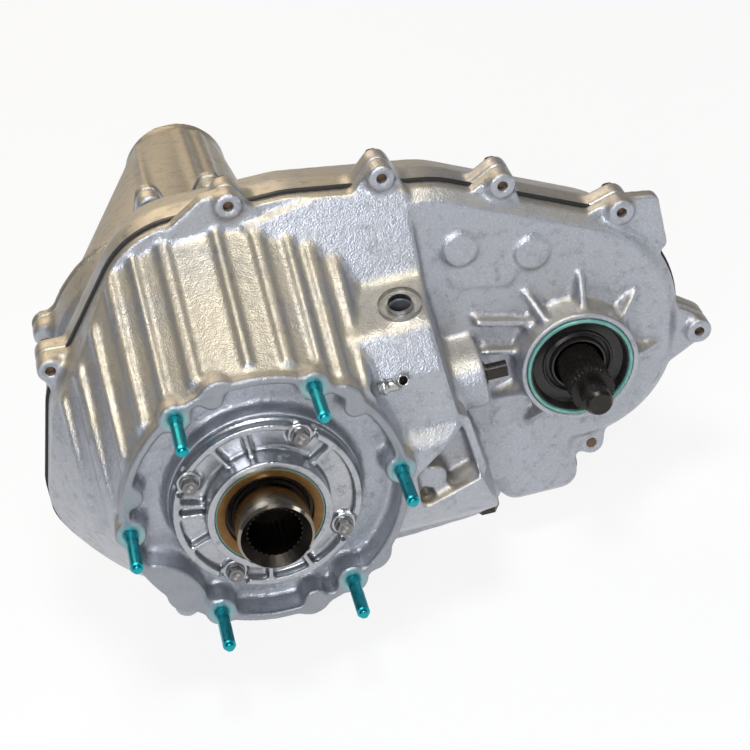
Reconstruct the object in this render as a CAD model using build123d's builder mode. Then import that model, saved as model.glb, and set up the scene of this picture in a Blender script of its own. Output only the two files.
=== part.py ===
# Two speed chain drive transfer case, millimetres.
# Origin: centre of the studded adapter face, on the input shaft's axis.
# +Y runs rearward along the shafts, +X from the main shaft to the front output, +Z is up.
import os
from math import acos, cos, hypot, pi, radians, sin, tan

from build123d import *

os.makedirs("parts", exist_ok=True)

# Shaft lines and the faces where the castings meet
SHAFT_GAP = 264.0
PARTING_Y = 125.0
SEALANT_BEAD = 0.8
SEALANT_SQUEEZE = 0.7
REAR_FACE_Y = 214.0
TAIL_END_Y = 574.5

# Clearances: a running fit, room round a moving piece, and a snug seat in one body
FIT = 0.05
ROOM = 0.4
SNUG = 0.02

# Case walls and the outline of the parting face, as circles (x, z, radius) wrapped in a band
WALL = 7.0
BELL_ROUNDS = [
    (-92, -30, 70), (-84, 38, 62), (-40, -70, 85), (120, -85, 62), (165, -122, 22), (-20, 112, 71),
    (60, 100, 84),
]
CHAIN_ROUNDS = [(60, 100, 84), (155, 82, 87), (SHAFT_GAP - 9, 20, 100), (SHAFT_GAP, -2, 88)]
SUMP_ROUNDS = [(207, -120, 15), (243, -120, 15), (SHAFT_GAP - 39, -60, 34)]
TUNNEL_ROUNDS = [(0, 0, 74.5), (SHAFT_GAP, 0, 74.5)]
WEB_ROUNDS = [(170, -40, 30), (205, -40, 30), (192, -96, 18)]
ALL_BANDS = (BELL_ROUNDS, CHAIN_ROUNDS, SUMP_ROUNDS, TUNNEL_ROUNDS, WEB_ROUNDS)
LOBE_BANDS = (CHAIN_ROUNDS[1:], SUMP_ROUNDS, WEB_ROUNDS)
SHOULDER = 9.0

# Bell of the front case, a cone from the adapter flange to the parting face
NOSE_Y = 8.0
NOSE_R = 104.0
SKIRT_R = 172.0
BELL_RISE = 5.0
BELL_RIM = 9.0
RIB_HEIGHT = 4.5
BELL_RIBS = [
    (-131, 4), (-115, 6), (-97, 4), (-77, 6), (-56, 5), (-32, 8), (9, 6), (38, 8), (61, 5), (76, 7), (93, 6),
]

# Adapter flange with its studs and the cast recess round the input bearing
FLANGE_R = 109.0
FLANGE_DEPTH = 14.0
RECESS_R = 102.0
RECESS_FLOOR = 22.0
FLOOR_LAP = 4.0
FRONT_WALL = 10.0
STUD_COUNT = 6
STUD_CIRCLE_R = 103.2
STUD_R = 5.0
STUD_ROOT_R = 4.5
STUD_MOUTH = 1.0
STUD_MOUTH_GAP = 0.4
STUD_OUT = 44.3
STUD_IN = 18.0
STUD_POINT = 3.0
STUD_BOSS_R = 12.2
OUTER_LOBES = [45, 100, 222, 280, 315]
LOBE_R = 17.0
INNER_LOBES = [39, 103, 162, 282]
INNER_LOBE_R = 9.0

# Input bearing, its bolted retainer and the seal that the retainer carries
HUB_R = 74.0
HUB_FACE_Y = 8.0
BEARING_R = 45.0
BEARING_WIDTH = 19.0
BEARING_LIP = 2.0
INPUT_R = 28.5
INPUT_FACE_Y = -45.3
RETAINER_R = 73.0
RETAINER_BASE = 5.0
RETAINER_FRONT_Y = -17.0
RETAINER_NECK_R = 47.0
RETAINER_RIM = 5.0
RETAINER_RIM_LIFT = 8.0
RETAINER_BOLT_ANGLES = [57, 147, 237, 327]
RETAINER_BOLT_CIRCLE_R = 63.0
RETAINER_BOLT_R = 4.0
RETAINER_BOLT_DEPTH = 12.0
RETAINER_PAD_R = 9.5
RETAINER_PAD_Y = -1.0
RETAINER_BARS = [35, 95, 118, 164, 173, 200, 262, 290]
SEAL_R = 41.0
SEAL_DEPTH = 9.0
SEAL_SETBACK = 1.0
INPUT_COLLAR_R = 33.0

# Planetary reduction: sun on the input shaft, four planets, fixed ring
GEAR_MODULE = 1.75
SUN_TEETH = 50
PLANET_TEETH = 18
PLANET_COUNT = 4
GEAR_FRONT_Y = 46.0
GEAR_FACE = 28.0
BACKLASH = 0.16
RING_WALL = 6.0
SNAP_RING = 2.0
PLATE_FRONT = 5.0
PLATE_REAR = 7.0
PLATE_GAP = 2.0
PLANET_PIN_R = 5.0
CARRIER_R = 71.0
CLUTCH_TEETH = 24
CLUTCH_TOOTH = 2.0
CLUTCH_R = 35.0
CLUTCH_DEPTH = 20.0
SPLINE_TEETH = 29
SPLINE_R = 20.8
SPLINE_TOOTH = 1.3
SPLINE_DEPTH = 48.0

# Main shaft, its hubs and the clutch collars that slide on it
PILOT_R = 12.0
PILOT_FRONT_Y = 16.0
PILOT_BEARING = 4.0
MAIN_R = 20.0
MAIN_END_Y = 500.0
MAIN_TAIL_R = 16.0
COLLAR_TRAVEL = 12.0
COLLAR_RIM_R = 48.0
COLLAR_GROOVE_R = 40.0
GROOVE_WIDTH = 4.0
RIM_WIDTH = 10.0
MODE_HUB_R = 36.0
SLEEVE_R = 48.0
SLEEVE_LENGTH = 16.0
SLEEVE_GROOVE_R = 42.0
TONE_WHEEL_Y = 250.0
TONE_WHEEL_WIDTH = 10.0
TONE_WHEEL_R = 42.0
TONE_TEETH = 30

# Chain drive between the two shafts
SPROCKET_FRONT_Y = 140.0
SPROCKET_WIDTH = 28.0
SPROCKET_TEETH = 36
CHAIN_PITCH = 9.525
SPROCKET_TOOTH = 5.0
CHAIN_THICKNESS = 7.0

# Front output shaft, boss and bearings
OUTPUT_FRONT_Y = 22.7
THREAD_R = 11.0
THREAD_LENGTH = 20.0
OUTPUT_SPLINE_R = 17.5
OUTPUT_SPLINE_TEETH = 28
OUTPUT_BOSS_Y = 79.0
OUTPUT_BOSS_R = 47.5
OUTPUT_SEAL_R = 42.6
OUTPUT_SEAL_DEPTH = 12.0
OUTPUT_BEARING_R = 40.0
OUTPUT_BEARING_WIDTH = 20.0
OUTPUT_JOURNAL_R = 20.0
CHAIN_WALL_Y = 106.0
BOSS_WEBS = [116, 78, 35, -10, -128, 200]
BOSS_WEB = 6.0
BOSS_WEB_REACH = 28.0
REAR_BEARING_R = 31.0
REAR_BEARING_WIDTH = 16.0
REAR_JOURNAL_R = 15.0

# Cast marks on the chain case's face: raised pads and rings as (x, z, radius), and two bars to the boss
FACE_PADS = [(188, 113, 13.5), (243, 96, 13.5)]
FACE_RINGS = [(203, -48, 10), (226, -65, 7), (224, -37, 5), (306, 50, 6)]
FACE_PLATE = [(185.3, 88, 9), (218.7, 82, 9)]
FACE_BARS = [((192, 50), (235, 38)), ((195, 22), (228, 14))]
BAR_FRONT_Y = 95.0
PAD_LIFT = 3.0
RING_LIFT = 1.2

# Shift chamber beside the bell: its side profile as (depth, height) corners
CHAMBER_PROFILE = [
    (125, 192), (115, 184), (89, 111), (40, 97), (25, 62), (24, 18), (15, 2), (15, -54), (31, -75),
    (70, -107),
    (125, -144),
]
CHAMBER_ROUND = 11.0
CHAMBER_LEFT_X = 30.0
CHAMBER_RIGHT = [
    (157, 192), (158, 90), (170, -10), (186, -68), (186, -86), (170, -108), (150, -122), (110, -144),
]
CHAMBER_DRAFT = 6.0
POCKET = [(157, 12), (116, -20), (116, -50), (164, -34)]
POCKET_FLOOR_Y = 42.0
POCKET_BOSS = (129.5, -30, 10.5)
POCKET_BOSS_Y = 23.0
PORT_POS = (130.0, 60.0, 103.5)
PORT_TILT = 14.0
PORT_R = 9.0
PORT_BOSS_R = 17.0
PORT_LENGTH = 16.0
SECTOR_Y = 85.0
SECTOR_Z = 12.0
SECTOR_BOSS_R = 25.0
SECTOR_BOSS_END_X = 187.0
SECTOR_SHAFT_R = 9.0
SECTOR_SEAL_R = 14.0
SECTOR_SEAL_DEPTH = 5.0
SECTOR_SHAFT_END_X = 207.0
SECTOR_SWING = 28.0
SECTOR_PLATE_X = 112.0
SECTOR_PLATE = 5.0
RAIL_X = 98.0
RAIL_Z = 40.0
RAIL_R = 6.0
RAIL_FRONT_Y = 40.0
FORK_TUBE_R = 11.0
FORK_THICKNESS = 3.4
FOLLOWER_R = 4.0
CAM_STEPS = 4
VENT_R = 4.6
VENT_WALL = 1.1
VENT_POS = (92.0, 18.0, 64.0)
VENT_RUN = 29.0

# Lugs round the parting face: bolt centre and the way each leans out, degrees from +X
EARS = [
    (22.5, 191.5, 90), (138.5, 185.5, 78), (228, 156, 62), (317, 110, 50), (369.5, -13, -4),
    (272.5, -98, -70),
    (-135, 89, 142), (-78, -158, 247), (30, -163, 270),
]
TOP_WEB = [(-29, 179), (4, 200), (22, 202), (34, 180), (34, 165), (-20, 165)]
CORNER_PLATE = [(317, 110, 10), (342, 109, 7), (346, 72, 6), (322, 84, 8)]
EAR_R = 10.5
EAR_REACH = 23.0
EAR_SPREAD = 21.0
EAR_DEPTH = 11.0
EAR_BOSS_LIFT = 6.0
CASE_BOLT_R = 4.0

# Rear case and extension housing
REAR_RIM_END_Y = 150.0
REAR_WALL_Y = 178.0
REAR_DRAFT = 16.0
REAR_RIB = 8.0
OUTPUT_RIB_ANGLES = [-100, -60, -20, 20, 60, 100, 140]
OUTPUT_RIB_LENGTH = 42.0
NECK_CENTRE = (-30.0, 25.0)
NECK_R = 112.0
MAIN_BEARING_R = 40.0
MAIN_BEARING_WIDTH = 20.0
BEARING_BOSS_WALL = 9.0
EXT_FLANGE = 10.0
EXT_BASE_R = 105.0
EXT_WALL = 5.0
TAIL_R = 48.0
TAIL_RIBS = [(-32, 5), (12, 6), (28, 7)]
TAIL_RIB_LIFT = 3.0
CONE_END_Y = 560.0
BUSHING_BORE_R = 24.0
BUSHING_WALL = 2.5
BUSHING_LENGTH = 50.0
TAIL_SEAL_R = 36.0
TAIL_SEAL_DEPTH = 13.0
LUGS = [(-33, 158), (16, 157), (78, 72), (84, -14), (18, -78), (-70, -86), (-134, -30), (-136, 68)]
LUG_R = 11.0
LUG_FOOT_R = 24.0
LUG_DEPTH = 16.0
LUG_BOLT_R = 4.0
DRAIN_X = 182.0
DRAIN_Y = 140.0
DRAIN_END_Z = -143.0
DRAIN_BOSS = 30.0
DRAIN_BOSS_R = 14.0
DRAIN_R = 8.0
PLUG_HEAD = 12.0
FILL_POS = (150.0, -30.0)
PUMP_R = 46.0
PUMP_WIDTH = 16.0
TUBE_R = 4.0
PICKUP_Y = 130.0
SCREEN_X = 222.0
VALLEY_X = 212.0
VALLEY_Z = -62.0
PICKUP_ANGLE = 235.0
SCREEN_Z = -104.0
SCREEN_HEIGHT = 12.0

# Places worked out from the sizes above
RETAINER_SHOULDER_Y = RETAINER_FRONT_Y + SEAL_SETBACK + SEAL_DEPTH
SUN_R = GEAR_MODULE * SUN_TEETH / 2
PLANET_R = GEAR_MODULE * PLANET_TEETH / 2
RING_TEETH = SUN_TEETH + 2 * PLANET_TEETH
RING_R = GEAR_MODULE * RING_TEETH / 2
PLANET_CIRCLE_R = SUN_R + PLANET_R
GEAR_BACK_Y = GEAR_FRONT_Y + GEAR_FACE
RING_OUTER_R = RING_R + 1.25 * GEAR_MODULE + RING_WALL
FRONT_WALL_BACK_Y = RECESS_FLOOR + FRONT_WALL
RING_FRONT_Y = GEAR_FRONT_Y - 2
RING_SLEEVE_END_Y = GEAR_BACK_Y + SNAP_RING + 3
BEARING_FRONT_Y = HUB_FACE_Y + BEARING_LIP
BEARING_BACK_Y = BEARING_FRONT_Y + BEARING_WIDTH
CARRIER_FRONT_Y = GEAR_FRONT_Y - PLATE_GAP - PLATE_FRONT
CARRIER_BACK_Y = GEAR_BACK_Y + PLATE_GAP + PLATE_REAR
SPROCKET_BACK_Y = SPROCKET_FRONT_Y + SPROCKET_WIDTH
SPROCKET_R = CHAIN_PITCH / (2 * sin(pi / SPROCKET_TEETH))
CHAIN_INNER_R = SPROCKET_R + SPROCKET_TOOTH / 2 + ROOM
CHAIN_OUTER_R = CHAIN_INNER_R + CHAIN_THICKNESS
REAR_START_Y = PARTING_Y + SEALANT_BEAD
REAR_EAR_END_Y = REAR_START_Y + EAR_DEPTH + EAR_BOSS_LIFT
RAIL_BACK_Y = REAR_WALL_Y + WALL / 2
PICKUP_RUN_R = CHAIN_OUTER_R + TUBE_R + 4
PICKUP_X = PICKUP_RUN_R * cos(radians(PICKUP_ANGLE))
PICKUP_Z = PICKUP_RUN_R * sin(radians(PICKUP_ANGLE))
MAIN_BEARING_FRONT_Y = REAR_FACE_Y - MAIN_BEARING_WIDTH
OUTPUT_BEARING_FRONT_Y = OUTPUT_BOSS_Y + OUTPUT_SEAL_DEPTH
OUTPUT_BEARING_BACK_Y = OUTPUT_BEARING_FRONT_Y + OUTPUT_BEARING_WIDTH
REAR_BEARING_FRONT_Y = REAR_WALL_Y - 2
REAR_BEARING_BACK_Y = REAR_BEARING_FRONT_Y + REAR_BEARING_WIDTH
CLUTCH_FRONT_Y = GEAR_BACK_Y - CLUTCH_DEPTH
COLLAR_FRONT_Y = GEAR_BACK_Y - 10
COLLAR_RIM_Y = CARRIER_BACK_Y + 5
GROOVE_Y = COLLAR_RIM_Y + (RIM_WIDTH - GROOVE_WIDTH) / 2
SLEEVE_FRONT_Y = SPROCKET_FRONT_Y - 2 - SLEEVE_LENGTH
RANGE_PIN_Y = GROOVE_Y + 0.5
OUTPUT_SPLINE_END_Y = OUTPUT_BOSS_Y + OUTPUT_SEAL_DEPTH - 5
SLEEVE_GROOVE_Y = SLEEVE_FRONT_Y + (SLEEVE_LENGTH - GROOVE_WIDTH) / 2
TAIL_SEAL_Y = TAIL_END_Y - TAIL_SEAL_DEPTH
BUSHING_BACK_Y = TAIL_SEAL_Y - 5
BUSHING_FRONT_Y = BUSHING_BACK_Y - BUSHING_LENGTH
PUMP_BACK_Y = REAR_FACE_Y + PUMP_WIDTH


# Drawing helpers
def station(y, x=0.0, z=0.0):
    """Plane square to the shafts at depth y: local x is +X, local y is +Z, extrusion runs forward."""
    return Plane(origin=(x, y, z), x_dir=(1, 0, 0), z_dir=(0, -1, 0))


def on_circle(radius, angle):
    """Point (x, z) on a circle about the main axis, at an angle in degrees from +X."""
    return radius * cos(radians(angle)), radius * sin(radians(angle))


def wrap(rounds, inset=0.0, mode=Mode.ADD):
    """Draw the closed outline of a band pulled tight round circles given as (x, z, radius)."""
    rims = [Pos(x, z) * Circle(radius - inset, mode=Mode.PRIVATE) for x, z, radius in rounds]
    make_hull([rim.edge() for rim in rims], mode=mode)


def collar(y_front, y_back, outer, inner=0.0, x=0.0, z=0.0, mode=Mode.ADD):
    """Round stock between two depths, with a bore if inner is given."""
    with BuildSketch(station(y_back, x, z)) as section:
        Circle(outer)
        if inner:
            Circle(inner, mode=Mode.SUBTRACT)
    extrude(section.sketch, amount=y_back - y_front, mode=mode)


def turned(half_section, x=0.0, mode=Mode.ADD):
    """Turn a half section, given as (radius, depth) corners, about the shaft axis at x."""
    with BuildSketch(Plane.XY) as half:
        with BuildLine():
            Polyline([(x + radius, depth) for radius, depth in half_section], close=True)
        make_face()
    revolve(half.sketch, axis=Axis((x, 0, 0), (0, 1, 0)), mode=mode)


def slab(outline, thickness, mode=Mode.ADD):
    """Extrude a finished sketch forward by its thickness."""
    extrude(outline.sketch, amount=thickness, mode=mode)


def involute(angle):
    """Involute function of a pressure angle in radians."""
    return tan(angle) - angle


def gear_outline(teeth, tip_r, root_r, internal=False):
    """Corners of a gear's teeth, with flanks drawn straight between root and tip."""
    pitch_r = GEAR_MODULE * teeth / 2
    base_r = pitch_r * cos(radians(20))
    sign = -1 if internal else 1
    corners = []

    def half_angle(radius):
        at_radius = involute(acos(min(1.0, base_r / max(radius, base_r))))
        return pi / (2 * teeth) - BACKLASH / (2 * pitch_r) + sign * (involute(radians(20)) - at_radius)

    for tooth in range(teeth):
        middle = 2 * pi * tooth / teeth
        for radius, side in ((root_r, -1), (tip_r, -1), (tip_r, 1), (root_r, 1)):
            angle = middle + side * half_angle(radius)
            corners.append((radius * cos(angle), radius * sin(angle)))
    return corners


def toothed_outline(teeth, tip_r, root_r, tip_share=0.3):
    """Corners of plain straight sided teeth, as on splines, clutches and sprockets."""
    corners = []
    for tooth in range(teeth):
        middle = 2 * pi * tooth / teeth
        for radius, share in ((root_r, -1.0), (tip_r, -tip_share), (tip_r, tip_share)):
            angle = middle + share * pi / teeth
            corners.append((radius * cos(angle), radius * sin(angle)))
    return corners


def toothed(corners, y_front, y_back, x=0.0, z=0.0, mode=Mode.ADD):
    """Extrude a toothed outline between two depths."""
    with BuildSketch(station(y_back, x, z)) as section:
        with BuildLine():
            Polyline(corners, close=True)
        make_face()
    extrude(section.sketch, amount=y_back - y_front, mode=mode)


def hex_bolt(x, z, y_seat, shank_r, shank_length, facing):
    """Flanged hex bolt: facing -1 puts its head forward of the seat, 1 behind it."""
    flange_r = 1.85 * shank_r
    head_r = 1.6 * shank_r
    head_height = 1.5 * shank_r
    flange_end = y_seat + facing * 0.4 * shank_r
    head_end = flange_end + facing * head_height
    shank_end = y_seat - facing * shank_length
    shank = (y_seat, shank_end, shank_r, 8)
    flange = (y_seat, flange_end, flange_r, 12)
    head = (flange_end, head_end, head_r, 6)
    for start, end, radius, sides in (shank, flange, head):
        with BuildSketch(station(max(start, end), x, z)) as section:
            RegularPolygon(radius, sides)
        slab(section, abs(end - start))


def sloped(rounds, inset, y_front, y_back, neutral_y, angle, mode=Mode.ADD):
    """Slice of a band's outline whose sides lean by a draft angle from the depth that keeps its size."""
    with BuildPart(mode=Mode.PRIVATE) as piece:
        case_slice(y_front, y_back, inset, bands=(rounds,))
        sides = piece.faces().filter_by(lambda face: abs(face.normal_at().Y) < 0.01)
        draft(sides, neutral_plane=station(neutral_y), angle=angle)
    add(piece.part, mode=mode)


def web(x, z, angle, inner, outer, y_top, y_foot, width):
    """Triangular web that runs from a boss at (x, z) down to the wall behind it."""
    out = (cos(radians(angle)), 0, sin(radians(angle)))
    with BuildSketch(Plane(origin=(x, 0, z), x_dir=out, z_dir=(-out[2], 0, out[0]))) as side:
        with BuildLine():
            Polyline([(inner, y_top), (outer, y_foot), (inner, y_foot)], close=True)
        make_face()
    extrude(side.sketch, amount=width / 2, both=True)


def outlined(corners, y_front, y_back, mode=Mode.ADD):
    """Plate between two depths with a straight sided outline given as (x, z) corners."""
    with BuildSketch(station(y_back)) as outline:
        with BuildLine():
            Polyline(corners, close=True)
        make_face()
    slab(outline, y_back - y_front, mode)


def bell_radius(y):
    """Outside radius of the bell's cone at depth y."""
    return NOSE_R + (SKIRT_R - NOSE_R) * (y - NOSE_Y) / (PARTING_Y - NOSE_Y)


def bell_cone(y_front, y_back, inset, mode=Mode.ADD):
    """Cone of the bell between two depths, with its wall set in by inset."""
    rise = Plane.XY.offset(BELL_RISE)
    with BuildSketch(rise) as half:
        with BuildLine():
            Polyline([(0, y_front), (bell_radius(y_front) - inset, y_front),
                      (bell_radius(y_back) - inset, y_back), (0, y_back)], close=True)
        make_face()
    revolve(half.sketch, axis=Axis((0, 0, BELL_RISE), (0, 1, 0)), mode=mode)


def case_slice(y_front, y_back, inset, mode=Mode.ADD, bands=ALL_BANDS):
    """Slice of the case outline, as on both sides of the parting face."""
    with BuildSketch(station(y_back)) as outline:
        for rounds in bands:
            wrap(rounds, inset)
    slab(outline, y_back - y_front, mode)


def chamber(inset, mode=Mode.ADD):
    """Shift chamber: its side profile carried across, trimmed to its plan with moulding draft."""
    with BuildPart(mode=Mode.PRIVATE) as block:
        with BuildSketch(Plane.YZ.offset(CHAMBER_LEFT_X)) as side:
            with BuildLine():
                Polyline(CHAMBER_PROFILE, close=True)
            make_face()
            rounded = side.vertices().filter_by(lambda v: v.Y < PARTING_Y - 1)
            fillet(rounded, radius=CHAMBER_ROUND)
            if inset:
                offset(amount=-inset, mode=Mode.REPLACE)
        extrude(side.sketch, amount=SHAFT_GAP - CHAMBER_LEFT_X)
        left = CHAMBER_LEFT_X - 1
        low = CHAMBER_RIGHT[-1][1]
        with BuildSketch(station(PARTING_Y)) as plan:
            with BuildLine():
                Polyline([(left, 172)] + CHAMBER_RIGHT + [(left, low)], close=True)
            make_face()
            if inset:
                offset(amount=-inset, mode=Mode.REPLACE)
        extrude(plan.sketch, amount=PARTING_Y, taper=CHAMBER_DRAFT, mode=Mode.INTERSECT)
    add(block.part, mode=mode)


def ear_plate(x, z, lean, y_front, y_back, inset=0.0):
    """Bolt lug: a round end wrapped with a wide foot that runs into the case wall."""
    out = (cos(radians(lean)), sin(radians(lean)))
    foot = (x - EAR_REACH * out[0], z - EAR_REACH * out[1])
    rounds = [(x, z, EAR_R)]
    for side in (-EAR_SPREAD, EAR_SPREAD):
        rounds.append((foot[0] - side * out[1], foot[1] + side * out[0], 5.0))
    with BuildSketch(station(y_back)) as plate:
        wrap(rounds, inset)
    slab(plate, y_back - y_front)


def lug_root(x, z):
    """Round foot of an extension lug, set inside the neck's rim."""
    across = (x - NECK_CENTRE[0], z - NECK_CENTRE[1])
    share = (NECK_R - LUG_FOOT_R) / hypot(*across)
    return NECK_CENTRE[0] + across[0] * share, NECK_CENTRE[1] + across[1] * share, LUG_FOOT_R


def tail_cone(inset, y_front, y_back, mode=Mode.ADD):
    """Cone of the extension housing, leaning from the neck's centre to the shaft's axis."""
    run = CONE_END_Y - REAR_FACE_Y
    lean = Vector(-NECK_CENTRE[0], run, -NECK_CENTRE[1]).normalized()
    base = Vector(NECK_CENTRE[0], REAR_FACE_Y, NECK_CENTRE[1])
    side = lean.cross(Vector(0, 0, 1)).normalized()
    half_plane = Plane(base, x_dir=side, z_dir=side.cross(lean))
    spare = 25
    slope = (TAIL_R - EXT_BASE_R) / run
    with BuildPart(mode=Mode.PRIVATE) as cone:
        with BuildSketch(half_plane) as half:
            with BuildLine():
                Polyline([
                    (0, -spare), (EXT_BASE_R - slope * spare - inset, -spare),
                    (TAIL_R + slope * spare - inset, run + spare), (0, run + spare),
                ], close=True)
            make_face()
        revolve(half.sketch, axis=Axis(base, lean))
        collar(y_front, y_back, 3 * EXT_BASE_R, mode=Mode.INTERSECT)
    add(cone.part, mode=mode)


# Front case
with BuildPart() as rib_stock:
    bell_cone(NOSE_Y + 4, PARTING_Y - 4, -RIB_HEIGHT)
    with BuildSketch(station(PARTING_Y)) as rib_plates:
        for rib_x, rib_width in BELL_RIBS:
            with Locations((rib_x, SKIRT_R / 2)):
                Rectangle(rib_width, SKIRT_R + 60)
    extrude(rib_plates.sketch, amount=PARTING_Y, mode=Mode.INTERSECT)

with BuildPart() as flange_stock:
    with BuildSketch(station(FLANGE_DEPTH)) as flange_face:
        Circle(FLANGE_R)
        with PolarLocations(STUD_CIRCLE_R, STUD_COUNT):
            Circle(STUD_BOSS_R)
        for lobe_angle in OUTER_LOBES:
            with PolarLocations(FLANGE_R + 5 - LOBE_R, 1, start_angle=lobe_angle):
                Circle(LOBE_R)
    slab(flange_face, FLANGE_DEPTH)

with BuildPart() as recess_stock:
    with BuildSketch(station(RECESS_FLOOR)) as recess_face:
        Circle(RECESS_R)
        with PolarLocations(STUD_CIRCLE_R, STUD_COUNT):
            Circle(STUD_BOSS_R, mode=Mode.SUBTRACT)
        for lobe_angle in INNER_LOBES:
            with PolarLocations(RECESS_R - 1, 1, start_angle=lobe_angle):
                Circle(INNER_LOBE_R, mode=Mode.SUBTRACT)
        with Locations((-RECESS_R - 3, -RECESS_R * 0.74)):
            Circle(46, mode=Mode.SUBTRACT)
    slab(recess_face, RECESS_FLOOR)
    collar(HUB_FACE_Y, RECESS_FLOOR, HUB_R, mode=Mode.SUBTRACT)

with BuildPart() as inside_stock:
    bell_cone(FRONT_WALL_BACK_Y, PARTING_Y, WALL)
    chamber(WALL)
    with BuildSketch(station(PARTING_Y)) as inside_limit:
        for limit_rounds in (BELL_ROUNDS, CHAIN_ROUNDS):
            wrap(limit_rounds, WALL)
    slab(inside_limit, PARTING_Y, Mode.INTERSECT)

with BuildPart() as front_case:
    # Outer forms
    bell_cone(NOSE_Y, PARTING_Y, 0.0)
    add(rib_stock.part)
    chamber(0.0)
    with BuildSketch(station(PARTING_Y)) as bell_limit:
        for limit_rounds in (BELL_ROUNDS, CHAIN_ROUNDS):
            wrap(limit_rounds)
    slab(bell_limit, PARTING_Y, Mode.INTERSECT)
    case_slice(PARTING_Y - BELL_RIM, PARTING_Y, 0.0)
    for band in LOBE_BANDS:
        with BuildPart(mode=Mode.PRIVATE) as lobe:
            case_slice(CHAIN_WALL_Y, PARTING_Y, 0.0, bands=(band,))
            chamfer(lobe.faces().sort_by(Axis.Y)[0].edges(), length=SHOULDER)
        add(lobe.part)
    add(flange_stock.part)

    # Lugs round the parting face
    for ear_x, ear_z, ear_lean in EARS:
        ear_plate(ear_x, ear_z, ear_lean, PARTING_Y - EAR_DEPTH, PARTING_Y)
        collar(PARTING_Y - EAR_DEPTH - EAR_BOSS_LIFT, PARTING_Y, EAR_R, x=ear_x, z=ear_z)

    with BuildSketch(station(PARTING_Y)) as corner_plate:
        wrap(CORNER_PLATE)
    slab(corner_plate, EAR_DEPTH)
    outlined(TOP_WEB, PARTING_Y - EAR_DEPTH, PARTING_Y)

    # Cast bosses outside: front output, shift sector, switch port
    collar(OUTPUT_BOSS_Y, CHAIN_WALL_Y, OUTPUT_BOSS_R, x=SHAFT_GAP)
    for web_angle in BOSS_WEBS:
        web(SHAFT_GAP, 0, web_angle, OUTPUT_BOSS_R - 3, OUTPUT_BOSS_R + BOSS_WEB_REACH, OUTPUT_BOSS_Y + 4,
            CHAIN_WALL_Y + 1, BOSS_WEB)
    for pad_x, pad_z, pad_r in FACE_PADS:
        collar(CHAIN_WALL_Y - PAD_LIFT, CHAIN_WALL_Y + 1, pad_r, x=pad_x, z=pad_z)
    for ring_x, ring_z, ring_r in FACE_RINGS:
        collar(CHAIN_WALL_Y - RING_LIFT, CHAIN_WALL_Y + 1, ring_r, ring_r - 1.6, ring_x, ring_z)
    with BuildSketch(station(CHAIN_WALL_Y + 1)) as face_plate:
        wrap(FACE_PLATE)
    slab(face_plate, RING_LIFT + 1)
    for bar_start, bar_end in FACE_BARS:
        with BuildSketch(station(CHAIN_WALL_Y + 1)) as face_bar:
            wrap([(*bar_start, 2.5), (*bar_end, 2.5)])
        slab(face_bar, CHAIN_WALL_Y + 1 - BAR_FRONT_Y)
    with BuildSketch(Plane.YZ.offset(SECTOR_BOSS_END_X)) as sector_boss:
        with Locations((SECTOR_Y, SECTOR_Z)):
            Circle(SECTOR_BOSS_R)
            Rectangle(CHAIN_WALL_Y + 2 - SECTOR_Y, 2 * SECTOR_BOSS_R, align=(Align.MIN, Align.CENTER))
    extrude(sector_boss.sketch, amount=-40)
    port_tilt = radians(PORT_TILT)
    port_plane = Plane(PORT_POS, x_dir=(1, 0, 0), z_dir=(0, -sin(port_tilt), cos(port_tilt)))

    # Inside space
    case_slice(CHAIN_WALL_Y + WALL, PARTING_Y, WALL, Mode.SUBTRACT, LOBE_BANDS)
    add(inside_stock.part, mode=Mode.SUBTRACT)
    collar(RECESS_FLOOR, FRONT_WALL_BACK_Y, RECESS_R + FLOOR_LAP, RING_OUTER_R)

    # Pocket cast into the chamber's front, closed behind by its own wall, with a round boss in it
    with BuildSketch(station(POCKET_FLOOR_Y + WALL)) as pocket_wall:
        with BuildLine():
            Polyline(POCKET, close=True)
        make_face()
        offset(amount=WALL, mode=Mode.REPLACE)
    slab(pocket_wall, POCKET_FLOOR_Y + WALL - CHAMBER_PROFILE[4][0] - 1)
    outlined(POCKET, CHAMBER_PROFILE[6][0] - 1, POCKET_FLOOR_Y, Mode.SUBTRACT)
    collar(POCKET_BOSS_Y, POCKET_FLOOR_Y + 1, POCKET_BOSS[2], x=POCKET_BOSS[0], z=POCKET_BOSS[1])

    # Seats inside for the ring gear, the bearings and the shift rail
    collar(RECESS_FLOOR, RING_SLEEVE_END_Y, RING_OUTER_R + WALL)
    collar(FRONT_WALL_BACK_Y, RING_FRONT_Y, RING_OUTER_R - 3, mode=Mode.SUBTRACT)
    collar(RING_FRONT_Y, RING_SLEEVE_END_Y, RING_OUTER_R + SNUG, mode=Mode.SUBTRACT)
    collar(HUB_FACE_Y, FRONT_WALL_BACK_Y, HUB_R)
    collar(CHAIN_WALL_Y, OUTPUT_BEARING_BACK_Y + 2, OUTPUT_BOSS_R, x=SHAFT_GAP)
    collar(CHAMBER_PROFILE[5][0] + 2, RAIL_FRONT_Y + 12, FORK_TUBE_R, x=RAIL_X, z=RAIL_Z)
    with BuildSketch(port_plane) as port_boss:
        Circle(PORT_BOSS_R)
    extrude(port_boss.sketch, amount=-PORT_LENGTH)

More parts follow.
